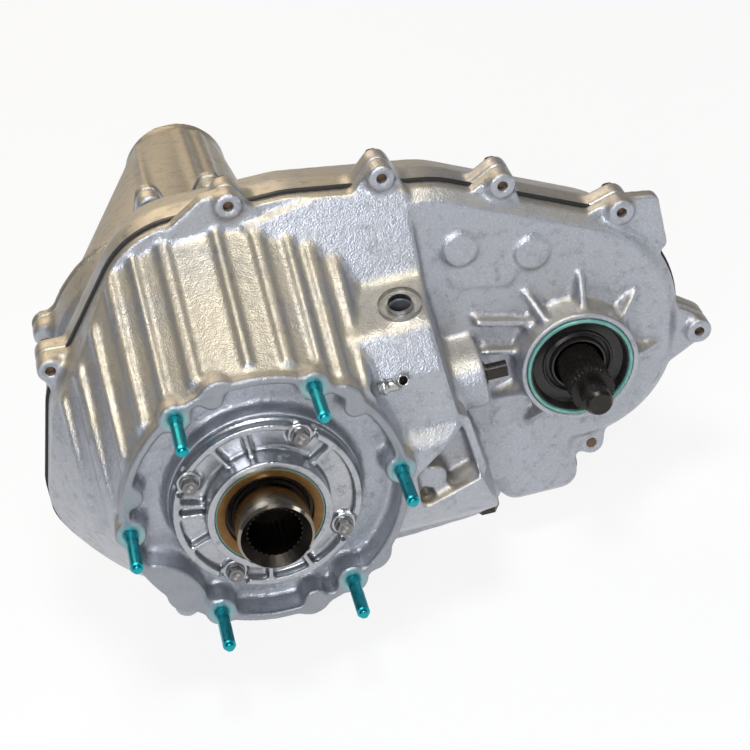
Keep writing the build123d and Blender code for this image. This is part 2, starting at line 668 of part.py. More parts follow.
    # Machined cuts
    add(recess_stock.part, mode=Mode.SUBTRACT)
    collar(HUB_FACE_Y, BEARING_BACK_Y, BEARING_R + SNUG, mode=Mode.SUBTRACT)
    collar(BEARING_BACK_Y, FRONT_WALL_BACK_Y, BEARING_R - 5, mode=Mode.SUBTRACT)
    collar(OUTPUT_BOSS_Y, OUTPUT_BEARING_FRONT_Y, OUTPUT_SEAL_R + SNUG, x=SHAFT_GAP, mode=Mode.SUBTRACT)
    collar(OUTPUT_BEARING_FRONT_Y, OUTPUT_BEARING_BACK_Y, OUTPUT_BEARING_R + SNUG, x=SHAFT_GAP,
           mode=Mode.SUBTRACT)
    collar(OUTPUT_BEARING_BACK_Y, PARTING_Y, OUTPUT_BEARING_R - 6, x=SHAFT_GAP, mode=Mode.SUBTRACT)
    collar(RAIL_FRONT_Y, PARTING_Y, RAIL_R + SNUG, x=RAIL_X, z=RAIL_Z, mode=Mode.SUBTRACT)
    for stud in range(STUD_COUNT):
        stud_x, stud_z = on_circle(STUD_CIRCLE_R, 360 / STUD_COUNT * stud)
        collar(0, STUD_IN, STUD_ROOT_R + SNUG, x=stud_x, z=stud_z, mode=Mode.SUBTRACT)
        collar(0, STUD_MOUTH, STUD_R + STUD_MOUTH_GAP, x=stud_x, z=stud_z, mode=Mode.SUBTRACT)
    for bolt_angle in RETAINER_BOLT_ANGLES:
        bolt_x, bolt_z = on_circle(RETAINER_BOLT_CIRCLE_R, bolt_angle)
        collar(HUB_FACE_Y, HUB_FACE_Y + RETAINER_BOLT_DEPTH + 2, RETAINER_BOLT_R + SNUG, x=bolt_x, z=bolt_z,
               mode=Mode.SUBTRACT)
    for ear_x, ear_z, ear_lean in EARS:
        collar(PARTING_Y - EAR_DEPTH - EAR_BOSS_LIFT, PARTING_Y, CASE_BOLT_R + SNUG, x=ear_x, z=ear_z,
               mode=Mode.SUBTRACT)
    with BuildSketch(Plane.YZ.offset(SECTOR_BOSS_END_X)) as sector_bore:
        with Locations((SECTOR_Y, SECTOR_Z)):
            Circle(SECTOR_SHAFT_R + FIT)
    extrude(sector_bore.sketch, amount=-60, mode=Mode.SUBTRACT)
    with BuildSketch(Plane.YZ.offset(SECTOR_BOSS_END_X)) as sector_seal_seat:
        with Locations((SECTOR_Y, SECTOR_Z)):
            Circle(SECTOR_SEAL_R + SNUG)
    extrude(sector_seal_seat.sketch, amount=-SECTOR_SEAL_DEPTH, mode=Mode.SUBTRACT)
    with BuildSketch(port_plane) as port_hole:
        Circle(PORT_R)
    extrude(port_hole.sketch, amount=-PORT_LENGTH - 10, mode=Mode.SUBTRACT)
    with BuildSketch(Plane.YZ.offset(VENT_POS[0])) as vent_hole:
        with Locations((VENT_POS[1], VENT_POS[2])):
            Circle(VENT_R + SNUG)
    extrude(vent_hole.sketch, amount=VENT_RUN, mode=Mode.SUBTRACT)
front_case.part.label = "front_case"
export_step(front_case.part, "parts/front_case.step")


# Rear case: the pan behind the parting face, and the neck that carries the extension housing
with BuildPart() as rear_case:
    case_slice(REAR_START_Y, REAR_RIM_END_Y, 0.0)
    for band in (BELL_ROUNDS, CHAIN_ROUNDS):
        sloped(band, 0.0, REAR_RIM_END_Y, REAR_WALL_Y + WALL, REAR_RIM_END_Y, -REAR_DRAFT)
    case_slice(REAR_RIM_END_Y, REAR_WALL_Y + WALL, 0.0, bands=(TUNNEL_ROUNDS,))
    for ear_x, ear_z, ear_lean in EARS:
        ear_plate(ear_x, ear_z, ear_lean, REAR_START_Y, REAR_EAR_END_Y)
    collar(REAR_WALL_Y, REAR_FACE_Y, NECK_R, x=NECK_CENTRE[0], z=NECK_CENTRE[1])
    for lug_x, lug_z in LUGS:
        with BuildSketch(station(REAR_FACE_Y)) as lug:
            wrap([(lug_x, lug_z, LUG_R), lug_root(lug_x, lug_z)])
        slab(lug, LUG_DEPTH)
    collar(REAR_BEARING_FRONT_Y, REAR_BEARING_BACK_Y + WALL, REAR_BEARING_R + WALL, x=SHAFT_GAP)
    for rib_angle in OUTPUT_RIB_ANGLES:
        with BuildSketch(station(REAR_WALL_Y + WALL + REAR_RIB, SHAFT_GAP)) as output_rib:
            with Locations(Rot(0, 0, rib_angle) * Pos(REAR_BEARING_R + 4, 0)):
                Rectangle(OUTPUT_RIB_LENGTH, 5, align=(Align.MIN, Align.CENTER))
        slab(output_rib, REAR_RIB + 2)
    with BuildSketch(Plane.XY.offset(DRAIN_END_Z)) as drain_boss:
        with Locations((DRAIN_X, DRAIN_Y)):
            Circle(DRAIN_BOSS_R)
    extrude(drain_boss.sketch, amount=DRAIN_BOSS)

    # Inside space of the pan and of the neck
    case_slice(REAR_START_Y, REAR_RIM_END_Y - WALL, WALL, Mode.SUBTRACT)
    case_slice(REAR_START_Y, REAR_RIM_END_Y, WALL, Mode.SUBTRACT, (BELL_ROUNDS, CHAIN_ROUNDS))
    for band in (BELL_ROUNDS, CHAIN_ROUNDS):
        sloped(band, WALL, REAR_RIM_END_Y, REAR_WALL_Y, REAR_RIM_END_Y, -REAR_DRAFT, Mode.SUBTRACT)
    case_slice(REAR_START_Y, REAR_WALL_Y, WALL, Mode.SUBTRACT, (TUNNEL_ROUNDS,))
    collar(REAR_WALL_Y + WALL, REAR_FACE_Y, NECK_R - WALL, x=NECK_CENTRE[0], z=NECK_CENTRE[1],
           mode=Mode.SUBTRACT)

    # Bearing boss in the neck on its webs, output bearing pocket and shift rail seat
    with BuildSketch(station(REAR_FACE_Y - 8)) as neck_webs:
        for web_angle in range(0, 180, 60):
            with Locations(Rot(0, 0, web_angle + 20)):
                Rectangle(2 * NECK_R, 6)
    with BuildPart(mode=Mode.PRIVATE) as web_stock:
        extrude(neck_webs.sketch, amount=REAR_FACE_Y - 8 - REAR_WALL_Y)
        with BuildSketch(station(REAR_FACE_Y, *NECK_CENTRE)) as neck_limit:
            Circle(NECK_R - 1)
        extrude(neck_limit.sketch, amount=REAR_FACE_Y - REAR_WALL_Y, mode=Mode.INTERSECT)
    add(web_stock.part)
    collar(REAR_WALL_Y, REAR_FACE_Y, MAIN_BEARING_R + BEARING_BOSS_WALL)
    collar(REAR_BEARING_FRONT_Y, REAR_BEARING_BACK_Y + 1, REAR_BEARING_R + WALL, x=SHAFT_GAP)
    collar(RAIL_BACK_Y - 14, REAR_WALL_Y + 1, FORK_TUBE_R, x=RAIL_X, z=RAIL_Z)

    # Machined cuts
    collar(MAIN_BEARING_FRONT_Y, REAR_FACE_Y, MAIN_BEARING_R + SNUG, mode=Mode.SUBTRACT)
    collar(REAR_WALL_Y, MAIN_BEARING_FRONT_Y, MAIN_BEARING_R - 6, mode=Mode.SUBTRACT)
    collar(REAR_BEARING_FRONT_Y, REAR_BEARING_BACK_Y, REAR_BEARING_R + SNUG, x=SHAFT_GAP, mode=Mode.SUBTRACT)
    collar(RAIL_BACK_Y - 14, RAIL_BACK_Y, RAIL_R + SNUG, x=RAIL_X, z=RAIL_Z, mode=Mode.SUBTRACT)
    collar(REAR_WALL_Y, REAR_FACE_Y, TUBE_R + 0.5, x=PICKUP_X, z=PICKUP_Z, mode=Mode.SUBTRACT)
    for ear_x, ear_z, ear_lean in EARS:
        collar(REAR_START_Y, REAR_EAR_END_Y, CASE_BOLT_R + SNUG, x=ear_x, z=ear_z, mode=Mode.SUBTRACT)
    for lug_x, lug_z in LUGS:
        collar(REAR_FACE_Y - LUG_DEPTH, REAR_FACE_Y, LUG_BOLT_R + SNUG, x=lug_x, z=lug_z, mode=Mode.SUBTRACT)
    with BuildSketch(Plane.XY.offset(DRAIN_END_Z)) as drain_hole:
        with Locations((DRAIN_X, DRAIN_Y)):
            Circle(DRAIN_R + SNUG)
    extrude(drain_hole.sketch, amount=DRAIN_BOSS + 4, mode=Mode.SUBTRACT)
    collar(REAR_WALL_Y, REAR_WALL_Y + WALL, DRAIN_R + SNUG, x=FILL_POS[0], z=FILL_POS[1], mode=Mode.SUBTRACT)
rear_case.part.label = "rear_case"
export_step(rear_case.part, "parts/rear_case.step")

# Bead of sealant squeezed between the two cases
with BuildPart() as case_sealant:
    case_slice(PARTING_Y, REAR_START_Y, -SEALANT_SQUEEZE)
    case_slice(PARTING_Y, REAR_START_Y, WALL, Mode.SUBTRACT)
case_sealant.part.label = "case_sealant"
export_step(case_sealant.part, "parts/case_sealant.step")

# Extension housing: a long ribbed cone over the main shaft's tail, bushed and sealed at its end
with BuildPart() as tail_rib_stock:
    tail_cone(-TAIL_RIB_LIFT, REAR_FACE_Y + EXT_FLANGE, CONE_END_Y - 4)
    with BuildSketch(station(CONE_END_Y)) as tail_rib_plates:
        for rib_x, rib_width in TAIL_RIBS:
            with Locations((rib_x, 0)):
                Rectangle(rib_width, 4 * EXT_BASE_R)
    extrude(tail_rib_plates.sketch, amount=CONE_END_Y - REAR_FACE_Y, mode=Mode.INTERSECT)

with BuildPart() as extension_housing:
    with BuildSketch(station(REAR_FACE_Y + EXT_FLANGE)) as ext_flange:
        with Locations(NECK_CENTRE):
            Circle(NECK_R)
        for lug_x, lug_z in LUGS:
            wrap([(lug_x, lug_z, LUG_R), lug_root(lug_x, lug_z)])
    slab(ext_flange, EXT_FLANGE)
    tail_cone(0.0, REAR_FACE_Y + 2, CONE_END_Y)
    add(tail_rib_stock.part)
    collar(CONE_END_Y - 1, TAIL_END_Y, TAIL_R)
    tail_cone(EXT_WALL, REAR_FACE_Y, CONE_END_Y - 40, Mode.SUBTRACT)
    collar(CONE_END_Y - 60, TAIL_SEAL_Y, BUSHING_BORE_R + BUSHING_WALL + SNUG, mode=Mode.SUBTRACT)
    collar(TAIL_SEAL_Y, TAIL_END_Y, TAIL_SEAL_R + SNUG, mode=Mode.SUBTRACT)
    for lug_x, lug_z in LUGS:
        collar(REAR_FACE_Y, REAR_FACE_Y + EXT_FLANGE, LUG_BOLT_R + SNUG, x=lug_x, z=lug_z,
               mode=Mode.SUBTRACT)
extension_housing.part.label = "extension_housing"
export_step(extension_housing.part, "parts/extension_housing.step")

# Fasteners and small fittings of the castings
with BuildPart() as case_bolts:
    for ear_x, ear_z, ear_lean in EARS:
        hex_bolt(ear_x, ear_z, REAR_EAR_END_Y, CASE_BOLT_R, REAR_EAR_END_Y - PARTING_Y + EAR_DEPTH, 1)
case_bolts.part.label = "case_bolts"
export_step(case_bolts.part, "parts/case_bolts.step")

with BuildPart() as extension_bolts:
    for lug_x, lug_z in LUGS:
        hex_bolt(lug_x, lug_z, REAR_FACE_Y + EXT_FLANGE, LUG_BOLT_R, EXT_FLANGE + LUG_DEPTH, 1)
extension_bolts.part.label = "extension_bolts"
export_step(extension_bolts.part, "parts/extension_bolts.step")

with BuildPart() as adapter_studs:
    for stud in range(STUD_COUNT):
        stud_x, stud_z = on_circle(STUD_CIRCLE_R, 360 / STUD_COUNT * stud)
        collar(0, STUD_IN, STUD_ROOT_R, x=stud_x, z=stud_z)
        collar(-STUD_OUT + STUD_POINT, 0, STUD_R, x=stud_x, z=stud_z)
        collar(-STUD_OUT, -STUD_OUT + STUD_POINT, STUD_R * 0.7, x=stud_x, z=stud_z)
adapter_studs.part.label = "adapter_studs"
export_step(adapter_studs.part, "parts/adapter_studs.step")

with BuildPart() as vent_tube:
    with BuildSketch(Plane.YZ.offset(VENT_POS[0])) as vent_section:
        with Locations((VENT_POS[1], VENT_POS[2])):
            Circle(VENT_R)
            Circle(VENT_R - VENT_WALL, mode=Mode.SUBTRACT)
    extrude(vent_section.sketch, amount=VENT_RUN)
vent_tube.part.label = "vent_tube"
export_step(vent_tube.part, "parts/vent_tube.step")

with BuildPart() as drain_plug:
    with BuildSketch(Plane.XY.offset(DRAIN_END_Z)) as drain_shank:
        with Locations((DRAIN_X, DRAIN_Y)):
            RegularPolygon(DRAIN_R, 12)
    extrude(drain_shank.sketch, amount=DRAIN_BOSS / 2)
    with BuildSketch(Plane.XY.offset(DRAIN_END_Z)) as drain_head:
        with Locations((DRAIN_X, DRAIN_Y)):
            RegularPolygon(DRAIN_R * 1.4, 6)
    extrude(drain_head.sketch, amount=-PLUG_HEAD)
drain_plug.part.label = "drain_plug"
export_step(drain_plug.part, "parts/drain_plug.step")

with BuildPart() as fill_plug:
    hex_bolt(FILL_POS[0], FILL_POS[1], REAR_WALL_Y + WALL, DRAIN_R, WALL, 1)
fill_plug.part.label = "fill_plug"
export_step(fill_plug.part, "parts/fill_plug.step")

# Input bearing retainer: base ring, neck for the seal, broken outer rim, bolt pads and stiffening bars
with BuildPart() as bearing_retainer:
    neck_foot_y = HUB_FACE_Y - RETAINER_BASE
    turned([
        (SEAL_R + SNUG, RETAINER_FRONT_Y), (RETAINER_NECK_R, RETAINER_FRONT_Y),
        (RETAINER_NECK_R, neck_foot_y), (RETAINER_R, neck_foot_y), (RETAINER_R, HUB_FACE_Y),
        (BEARING_R - SNUG, HUB_FACE_Y), (BEARING_R - SNUG, BEARING_FRONT_Y), (SEAL_R - 4, BEARING_FRONT_Y),
        (SEAL_R - 4, RETAINER_SHOULDER_Y), (SEAL_R + SNUG, RETAINER_SHOULDER_Y),
    ])
    with BuildSketch(station(neck_foot_y)) as outer_rim:
        Circle(RETAINER_R - 2)
        Circle(RETAINER_R - 2 - RETAINER_RIM, mode=Mode.SUBTRACT)
        for bolt_angle in RETAINER_BOLT_ANGLES:
            with PolarLocations(RETAINER_BOLT_CIRCLE_R, 1, start_angle=bolt_angle):
                Circle(RETAINER_PAD_R + 3, mode=Mode.SUBTRACT)
    slab(outer_rim, RETAINER_RIM_LIFT)
    with BuildSketch(station(neck_foot_y)) as stiffeners:
        for bar_angle in RETAINER_BARS:
            with PolarLocations(RETAINER_NECK_R - 2, 1, start_angle=bar_angle):
                Rectangle(RETAINER_R - RETAINER_RIM - RETAINER_NECK_R, 3.5, align=(Align.MIN, Align.CENTER))
    slab(stiffeners, RETAINER_RIM_LIFT)
    for bolt_angle in RETAINER_BOLT_ANGLES:
        pad_x, pad_z = on_circle(RETAINER_BOLT_CIRCLE_R, bolt_angle)
        collar(RETAINER_PAD_Y, neck_foot_y, RETAINER_PAD_R, x=pad_x, z=pad_z)
        collar(RETAINER_PAD_Y, HUB_FACE_Y, RETAINER_BOLT_R + SNUG, x=pad_x, z=pad_z, mode=Mode.SUBTRACT)
bearing_retainer.part.label = "bearing_retainer"
export_step(bearing_retainer.part, "parts/bearing_retainer.step")

with BuildPart() as retainer_bolts:
    for bolt_angle in RETAINER_BOLT_ANGLES:
        hex_bolt(*on_circle(RETAINER_BOLT_CIRCLE_R, bolt_angle), RETAINER_PAD_Y, RETAINER_BOLT_R,
                 HUB_FACE_Y - RETAINER_PAD_Y + RETAINER_BOLT_DEPTH, -1)
retainer_bolts.part.label = "retainer_bolts"
export_step(retainer_bolts.part, "parts/retainer_bolts.step")

# Oil seals: a folded metal case pressed in its seat, with a lip that runs on the shaft
def oil_seal(y_front, depth, outer_r, shaft_r, x=0.0):
    """Lip seal whose open side faces forward."""
    turned([
        (outer_r - 3, y_front), (outer_r, y_front), (outer_r, y_front + depth),
        (shaft_r + FIT, y_front + depth), (shaft_r + FIT, y_front + depth - 3),
        (outer_r - 3, y_front + depth - 4),
    ], x)


with BuildPart() as input_seal:
    seal_front_y = RETAINER_FRONT_Y + SEAL_SETBACK
    turned([
        (INPUT_R + 3, seal_front_y), (SEAL_R, seal_front_y), (SEAL_R, RETAINER_SHOULDER_Y),
        (INPUT_R + FIT, RETAINER_SHOULDER_Y), (INPUT_R + FIT, RETAINER_SHOULDER_Y - 3),
    ])
input_seal.part.label = "input_seal"
export_step(input_seal.part, "parts/input_seal.step")

with BuildPart() as output_seal:
    oil_seal(OUTPUT_BOSS_Y, OUTPUT_SEAL_DEPTH, OUTPUT_SEAL_R, OUTPUT_JOURNAL_R, SHAFT_GAP)
output_seal.part.label = "output_seal"
export_step(output_seal.part, "parts/output_seal.step")

with BuildPart() as tail_seal:
    collar(TAIL_SEAL_Y, TAIL_END_Y, TAIL_SEAL_R, BUSHING_BORE_R + 1)
tail_seal.part.label = "tail_seal"
export_step(tail_seal.part, "parts/tail_seal.step")

with BuildPart() as sector_seal:
    with BuildSketch(Plane.YZ.offset(SECTOR_BOSS_END_X)) as sector_ring:
        with Locations((SECTOR_Y, SECTOR_Z)):
            Circle(SECTOR_SEAL_R)
            Circle(SECTOR_SHAFT_R + FIT, mode=Mode.SUBTRACT)
    extrude(sector_ring.sketch, amount=-SECTOR_SEAL_DEPTH)
sector_seal.part.label = "sector_seal"
export_step(sector_seal.part, "parts/sector_seal.step")

# Bearings and the bush that carry the shafts
with BuildPart() as shaft_bearings:
    collar(BEARING_FRONT_Y, BEARING_BACK_Y, BEARING_R, INPUT_R + FIT)
    collar(OUTPUT_BEARING_FRONT_Y, OUTPUT_BEARING_BACK_Y, OUTPUT_BEARING_R, OUTPUT_JOURNAL_R + FIT,
           x=SHAFT_GAP)
    collar(REAR_BEARING_FRONT_Y, REAR_BEARING_BACK_Y, REAR_BEARING_R, REAR_JOURNAL_R + FIT, x=SHAFT_GAP)
    collar(MAIN_BEARING_FRONT_Y, REAR_FACE_Y, MAIN_BEARING_R, MAIN_R + FIT)
shaft_bearings.part.label = "shaft_bearings"
export_step(shaft_bearings.part, "parts/shaft_bearings.step")

with BuildPart() as tail_bushing:
    collar(BUSHING_FRONT_Y, BUSHING_BACK_Y, BUSHING_BORE_R + BUSHING_WALL, BUSHING_BORE_R)
tail_bushing.part.label = "tail_bushing"
export_step(tail_bushing.part, "parts/tail_bushing.step")

# Planetary reduction
with BuildPart() as input_gear:
    turned([
        (0, INPUT_FACE_Y), (INPUT_R - 2, INPUT_FACE_Y), (INPUT_R, INPUT_FACE_Y + 2),
        (INPUT_R, BEARING_BACK_Y + ROOM),
        (INPUT_COLLAR_R, BEARING_BACK_Y + ROOM), (INPUT_COLLAR_R, GEAR_FRONT_Y), (0, GEAR_FRONT_Y),
    ])
    toothed(gear_outline(SUN_TEETH, SUN_R + 0.8 * GEAR_MODULE, SUN_R - 1.2 * GEAR_MODULE), GEAR_FRONT_Y,
            GEAR_BACK_Y)
    toothed(toothed_outline(SPLINE_TEETH, SPLINE_R, SPLINE_R - SPLINE_TOOTH, 0.25), INPUT_FACE_Y,
            INPUT_FACE_Y + SPLINE_DEPTH, mode=Mode.SUBTRACT)
    collar(PILOT_FRONT_Y - 2, GEAR_BACK_Y, PILOT_R + PILOT_BEARING + SNUG, mode=Mode.SUBTRACT)
    toothed(toothed_outline(CLUTCH_TEETH, CLUTCH_R + ROOM, CLUTCH_R - CLUTCH_TOOTH + ROOM), CLUTCH_FRONT_Y,
            GEAR_BACK_Y, mode=Mode.SUBTRACT)
input_gear.part.label = "input_gear"
export_step(input_gear.part, "parts/input_gear.step")

with BuildPart() as pilot_bearing:
    collar(PILOT_FRONT_Y, GEAR_FRONT_Y, PILOT_R + PILOT_BEARING, PILOT_R + FIT)
pilot_bearing.part.label = "pilot_bearing"
export_step(pilot_bearing.part, "parts/pilot_bearing.step")

with BuildPart() as ring_gear:
    collar(RING_FRONT_Y, GEAR_BACK_Y, RING_OUTER_R)
    toothed(gear_outline(RING_TEETH, RING_R - 0.8 * GEAR_MODULE, RING_R + 1.2 * GEAR_MODULE, True),
            RING_FRONT_Y, GEAR_BACK_Y, mode=Mode.SUBTRACT)
ring_gear.part.label = "ring_gear"
export_step(ring_gear.part, "parts/ring_gear.step")

with BuildPart() as ring_gear_snap_ring:
    collar(GEAR_BACK_Y, GEAR_BACK_Y + SNAP_RING, RING_OUTER_R, RING_OUTER_R - 4)
ring_gear_snap_ring.part.label = "ring_gear_snap_ring"
export_step(ring_gear_snap_ring.part, "parts/ring_gear_snap_ring.step")

with BuildPart() as planet_carrier:
    collar(CARRIER_FRONT_Y, CARRIER_FRONT_Y + PLATE_FRONT, CARRIER_R, SUN_R + 3)
    collar(CARRIER_BACK_Y - PLATE_REAR, CARRIER_BACK_Y, CARRIER_R, CLUTCH_R + 2)
    with BuildSketch(station(CARRIER_BACK_Y)) as bridges:
        with PolarLocations(PLANET_CIRCLE_R + 2, PLANET_COUNT, start_angle=180 / PLANET_COUNT):
            Rectangle(14, 26)
    slab(bridges, CARRIER_BACK_Y - CARRIER_FRONT_Y)
    with BuildSketch(station(CARRIER_BACK_Y)) as pins:
        with PolarLocations(PLANET_CIRCLE_R, PLANET_COUNT):
            Circle(PLANET_PIN_R)
    slab(pins, CARRIER_BACK_Y - CARRIER_FRONT_Y)
planet_carrier.part.label = "planet_carrier"
export_step(planet_carrier.part, "parts/planet_carrier.step")

planet_turn = pi / PLANET_TEETH
for planet in range(PLANET_COUNT):
    planet_angle = 2 * pi * planet / PLANET_COUNT
    with BuildPart() as planet_gear:
        outline = [
            (x * cos(planet_turn) - z * sin(planet_turn), x * sin(planet_turn) + z * cos(planet_turn))
            for x, z in gear_outline(
                PLANET_TEETH, PLANET_R + 0.8 * GEAR_MODULE, PLANET_R - 1.2 * GEAR_MODULE)
        ]
        centre = (PLANET_CIRCLE_R * cos(planet_angle), PLANET_CIRCLE_R * sin(planet_angle))
        toothed(outline, GEAR_FRONT_Y, GEAR_BACK_Y, *centre)
        collar(GEAR_FRONT_Y, GEAR_BACK_Y, PLANET_PIN_R + FIT, x=centre[0], z=centre[1], mode=Mode.SUBTRACT)
    planet_gear.part.label = f"planet_gear_{planet + 1}"
    export_step(planet_gear.part, f"parts/planet_gear_{planet + 1}.step")

# Main shaft with its fixed mode hub, and the two clutch collars that slide along it
with BuildPart() as main_shaft:
    turned([
        (0, PILOT_FRONT_Y), (PILOT_R, PILOT_FRONT_Y), (PILOT_R, CLUTCH_FRONT_Y + 2),
        (MAIN_R, CLUTCH_FRONT_Y + 2),
        (MAIN_R, TONE_WHEEL_Y + TONE_WHEEL_WIDTH + 30), (MAIN_TAIL_R, TONE_WHEEL_Y + TONE_WHEEL_WIDTH + 40),
        (MAIN_TAIL_R, MAIN_END_Y), (0, MAIN_END_Y),
    ])
main_shaft.part.label = "main_shaft"
export_step(main_shaft.part, "parts/main_shaft.step")

with BuildPart() as mode_hub:
    collar(SLEEVE_FRONT_Y + 1, SLEEVE_FRONT_Y + SLEEVE_LENGTH / 2, MODE_HUB_R, MAIN_R + SNUG)
mode_hub.part.label = "mode_hub"
export_step(mode_hub.part, "parts/mode_hub.step")

with BuildPart() as tone_wheel:
    toothed(toothed_outline(TONE_TEETH, TONE_WHEEL_R, TONE_WHEEL_R - 4, 0.5), TONE_WHEEL_Y,
            TONE_WHEEL_Y + TONE_WHEEL_WIDTH)
    collar(TONE_WHEEL_Y, TONE_WHEEL_Y + TONE_WHEEL_WIDTH, MAIN_R + SNUG, mode=Mode.SUBTRACT)
tone_wheel.part.label = "tone_wheel"
export_step(tone_wheel.part, "parts/tone_wheel.step")

with BuildPart() as range_collar:
    toothed(toothed_outline(CLUTCH_TEETH, CLUTCH_R, CLUTCH_R - CLUTCH_TOOTH), COLLAR_FRONT_Y, GEAR_BACK_Y)
    collar(GEAR_BACK_Y, COLLAR_RIM_Y, CLUTCH_R - CLUTCH_TOOTH - 1)
    collar(COLLAR_RIM_Y, COLLAR_RIM_Y + RIM_WIDTH, COLLAR_RIM_R)
    collar(GROOVE_Y, GROOVE_Y + GROOVE_WIDTH, COLLAR_RIM_R + 1, COLLAR_GROOVE_R, mode=Mode.SUBTRACT)
    collar(COLLAR_FRONT_Y, COLLAR_RIM_Y + RIM_WIDTH, MAIN_R + FIT, mode=Mode.SUBTRACT)
range_collar.part.label = "range_collar"
export_step(range_collar.part, "parts/range_collar.step")

with BuildPart() as mode_sleeve:
    collar(SLEEVE_FRONT_Y, SLEEVE_FRONT_Y + SLEEVE_LENGTH, SLEEVE_R, MODE_HUB_R + FIT)
    collar(SLEEVE_GROOVE_Y, SLEEVE_GROOVE_Y + GROOVE_WIDTH, SLEEVE_R + 1, SLEEVE_GROOVE_R,
           mode=Mode.SUBTRACT)
mode_sleeve.part.label = "mode_sleeve"
export_step(mode_sleeve.part, "parts/mode_sleeve.step")

# Chain drive and front output shaft
def sprocket(x, bore_r):
    """Sprocket with straight sided teeth, standing on the shaft axis at x."""
    tooth = SPROCKET_TOOTH / 2
    toothed(toothed_outline(SPROCKET_TEETH, SPROCKET_R + tooth, SPROCKET_R - tooth), SPROCKET_FRONT_Y,
            SPROCKET_BACK_Y, x)
    collar(SPROCKET_FRONT_Y, SPROCKET_BACK_Y, bore_r + SNUG, x=x, mode=Mode.SUBTRACT)


with BuildPart() as drive_sprocket:
    sprocket(0.0, MAIN_R)
    collar(SLEEVE_FRONT_Y + SLEEVE_LENGTH / 2 + 1, SPROCKET_FRONT_Y, MODE_HUB_R, MAIN_R + SNUG)
drive_sprocket.part.label = "drive_sprocket"
export_step(drive_sprocket.part, "parts/drive_sprocket.step")

with BuildPart() as driven_sprocket:
    sprocket(SHAFT_GAP, OUTPUT_JOURNAL_R)
driven_sprocket.part.label = "driven_sprocket"
export_step(driven_sprocket.part, "parts/driven_sprocket.step")

with BuildPart() as drive_chain:
    with BuildSketch(station(SPROCKET_BACK_Y)) as chain_loop:
        wrap([(0, 0, CHAIN_OUTER_R), (SHAFT_GAP, 0, CHAIN_OUTER_R)])
        wrap([(0, 0, CHAIN_INNER_R), (SHAFT_GAP, 0, CHAIN_INNER_R)], mode=Mode.SUBTRACT)
    slab(chain_loop, SPROCKET_WIDTH)
drive_chain.part.label = "drive_chain"
export_step(drive_chain.part, "parts/drive_chain.step")

with BuildPart() as front_output_shaft:
    thread_end_y = OUTPUT_FRONT_Y + THREAD_LENGTH
    turned([
        (0, OUTPUT_FRONT_Y), (THREAD_R - 2, OUTPUT_FRONT_Y), (THREAD_R, OUTPUT_FRONT_Y + 3),
        (THREAD_R, thread_end_y + 1),
        (0, thread_end_y + 1),
    ], SHAFT_GAP)
    toothed(toothed_outline(OUTPUT_SPLINE_TEETH, OUTPUT_SPLINE_R, OUTPUT_SPLINE_R - 1.4, 0.25), thread_end_y,
            OUTPUT_SPLINE_END_Y, SHAFT_GAP)
    collar(OUTPUT_SPLINE_END_Y, REAR_BEARING_FRONT_Y - 2, OUTPUT_JOURNAL_R, x=SHAFT_GAP)
    collar(REAR_BEARING_FRONT_Y - 2, REAR_BEARING_BACK_Y - 1, REAR_JOURNAL_R, x=SHAFT_GAP)
front_output_shaft.part.label = "front_output_shaft"
export_step(front_output_shaft.part, "parts/front_output_shaft.step")

# Oil pump on the rear bearing boss, with its pickup in the sump
with BuildPart() as oil_pump:
    collar(REAR_FACE_Y, PUMP_BACK_Y, PUMP_R, MAIN_R + FIT)
oil_pump.part.label = "oil_pump"
export_step(oil_pump.part, "parts/oil_pump.step")

with BuildPart() as pickup_tube:
    pump_mid_y = REAR_FACE_Y + PUMP_WIDTH / 2
    with BuildLine() as tube_route:
        FilletPolyline([
            (PICKUP_X * PUMP_R / PICKUP_RUN_R, pump_mid_y, PICKUP_Z * PUMP_R / PICKUP_RUN_R),
            (PICKUP_X, pump_mid_y, PICKUP_Z), (PICKUP_X, PICKUP_Y, PICKUP_Z), (VALLEY_X, PICKUP_Y, VALLEY_Z),
            (SCREEN_X, PICKUP_Y, SCREEN_Z + 16), (SCREEN_X, PICKUP_Y, SCREEN_Z),
        ], radius=10)
    with BuildSketch(Plane(tube_route.line @ 0, z_dir=tube_route.line % 0)) as tube_section:
        Circle(TUBE_R)
    sweep(tube_section.sketch, path=tube_route.line)
pickup_tube.part.label = "pickup_tube"
export_step(pickup_tube.part, "parts/pickup_tube.step")

with BuildPart() as pickup_screen:
    with BuildSketch(Plane.XY.offset(SCREEN_Z)) as screen_plan:
        with Locations((SCREEN_X, PICKUP_Y)):
            Rectangle(36, 14)
    extrude(screen_plan.sketch, amount=-SCREEN_HEIGHT)
pickup_screen.part.label = "pickup_screen"
export_step(pickup_screen.part, "parts/pickup_screen.step")

with BuildPart() as sump_magnet:
    with BuildSketch(Plane.XY.offset(SUMP_ROUNDS[0][1] - SUMP_ROUNDS[0][2] + WALL)) as magnet_plan:
        with Locations((SCREEN_X, PICKUP_Y)):
            Rectangle(24, 12)
    extrude(magnet_plan.sketch, amount=4)
sump_magnet.part.label = "sump_magnet"
export_step(sump_magnet.part, "parts/sump_magnet.step")

# Shift mechanism: sector shaft and cam plate, rail, and the two forks that ride on it
with BuildPart() as shift_rail:
    collar(RAIL_FRONT_Y, RAIL_BACK_Y, RAIL_R, x=RAIL_X, z=RAIL_Z)
shift_rail.part.label = "shift_rail"
export_step(shift_rail.part, "parts/shift_rail.step")

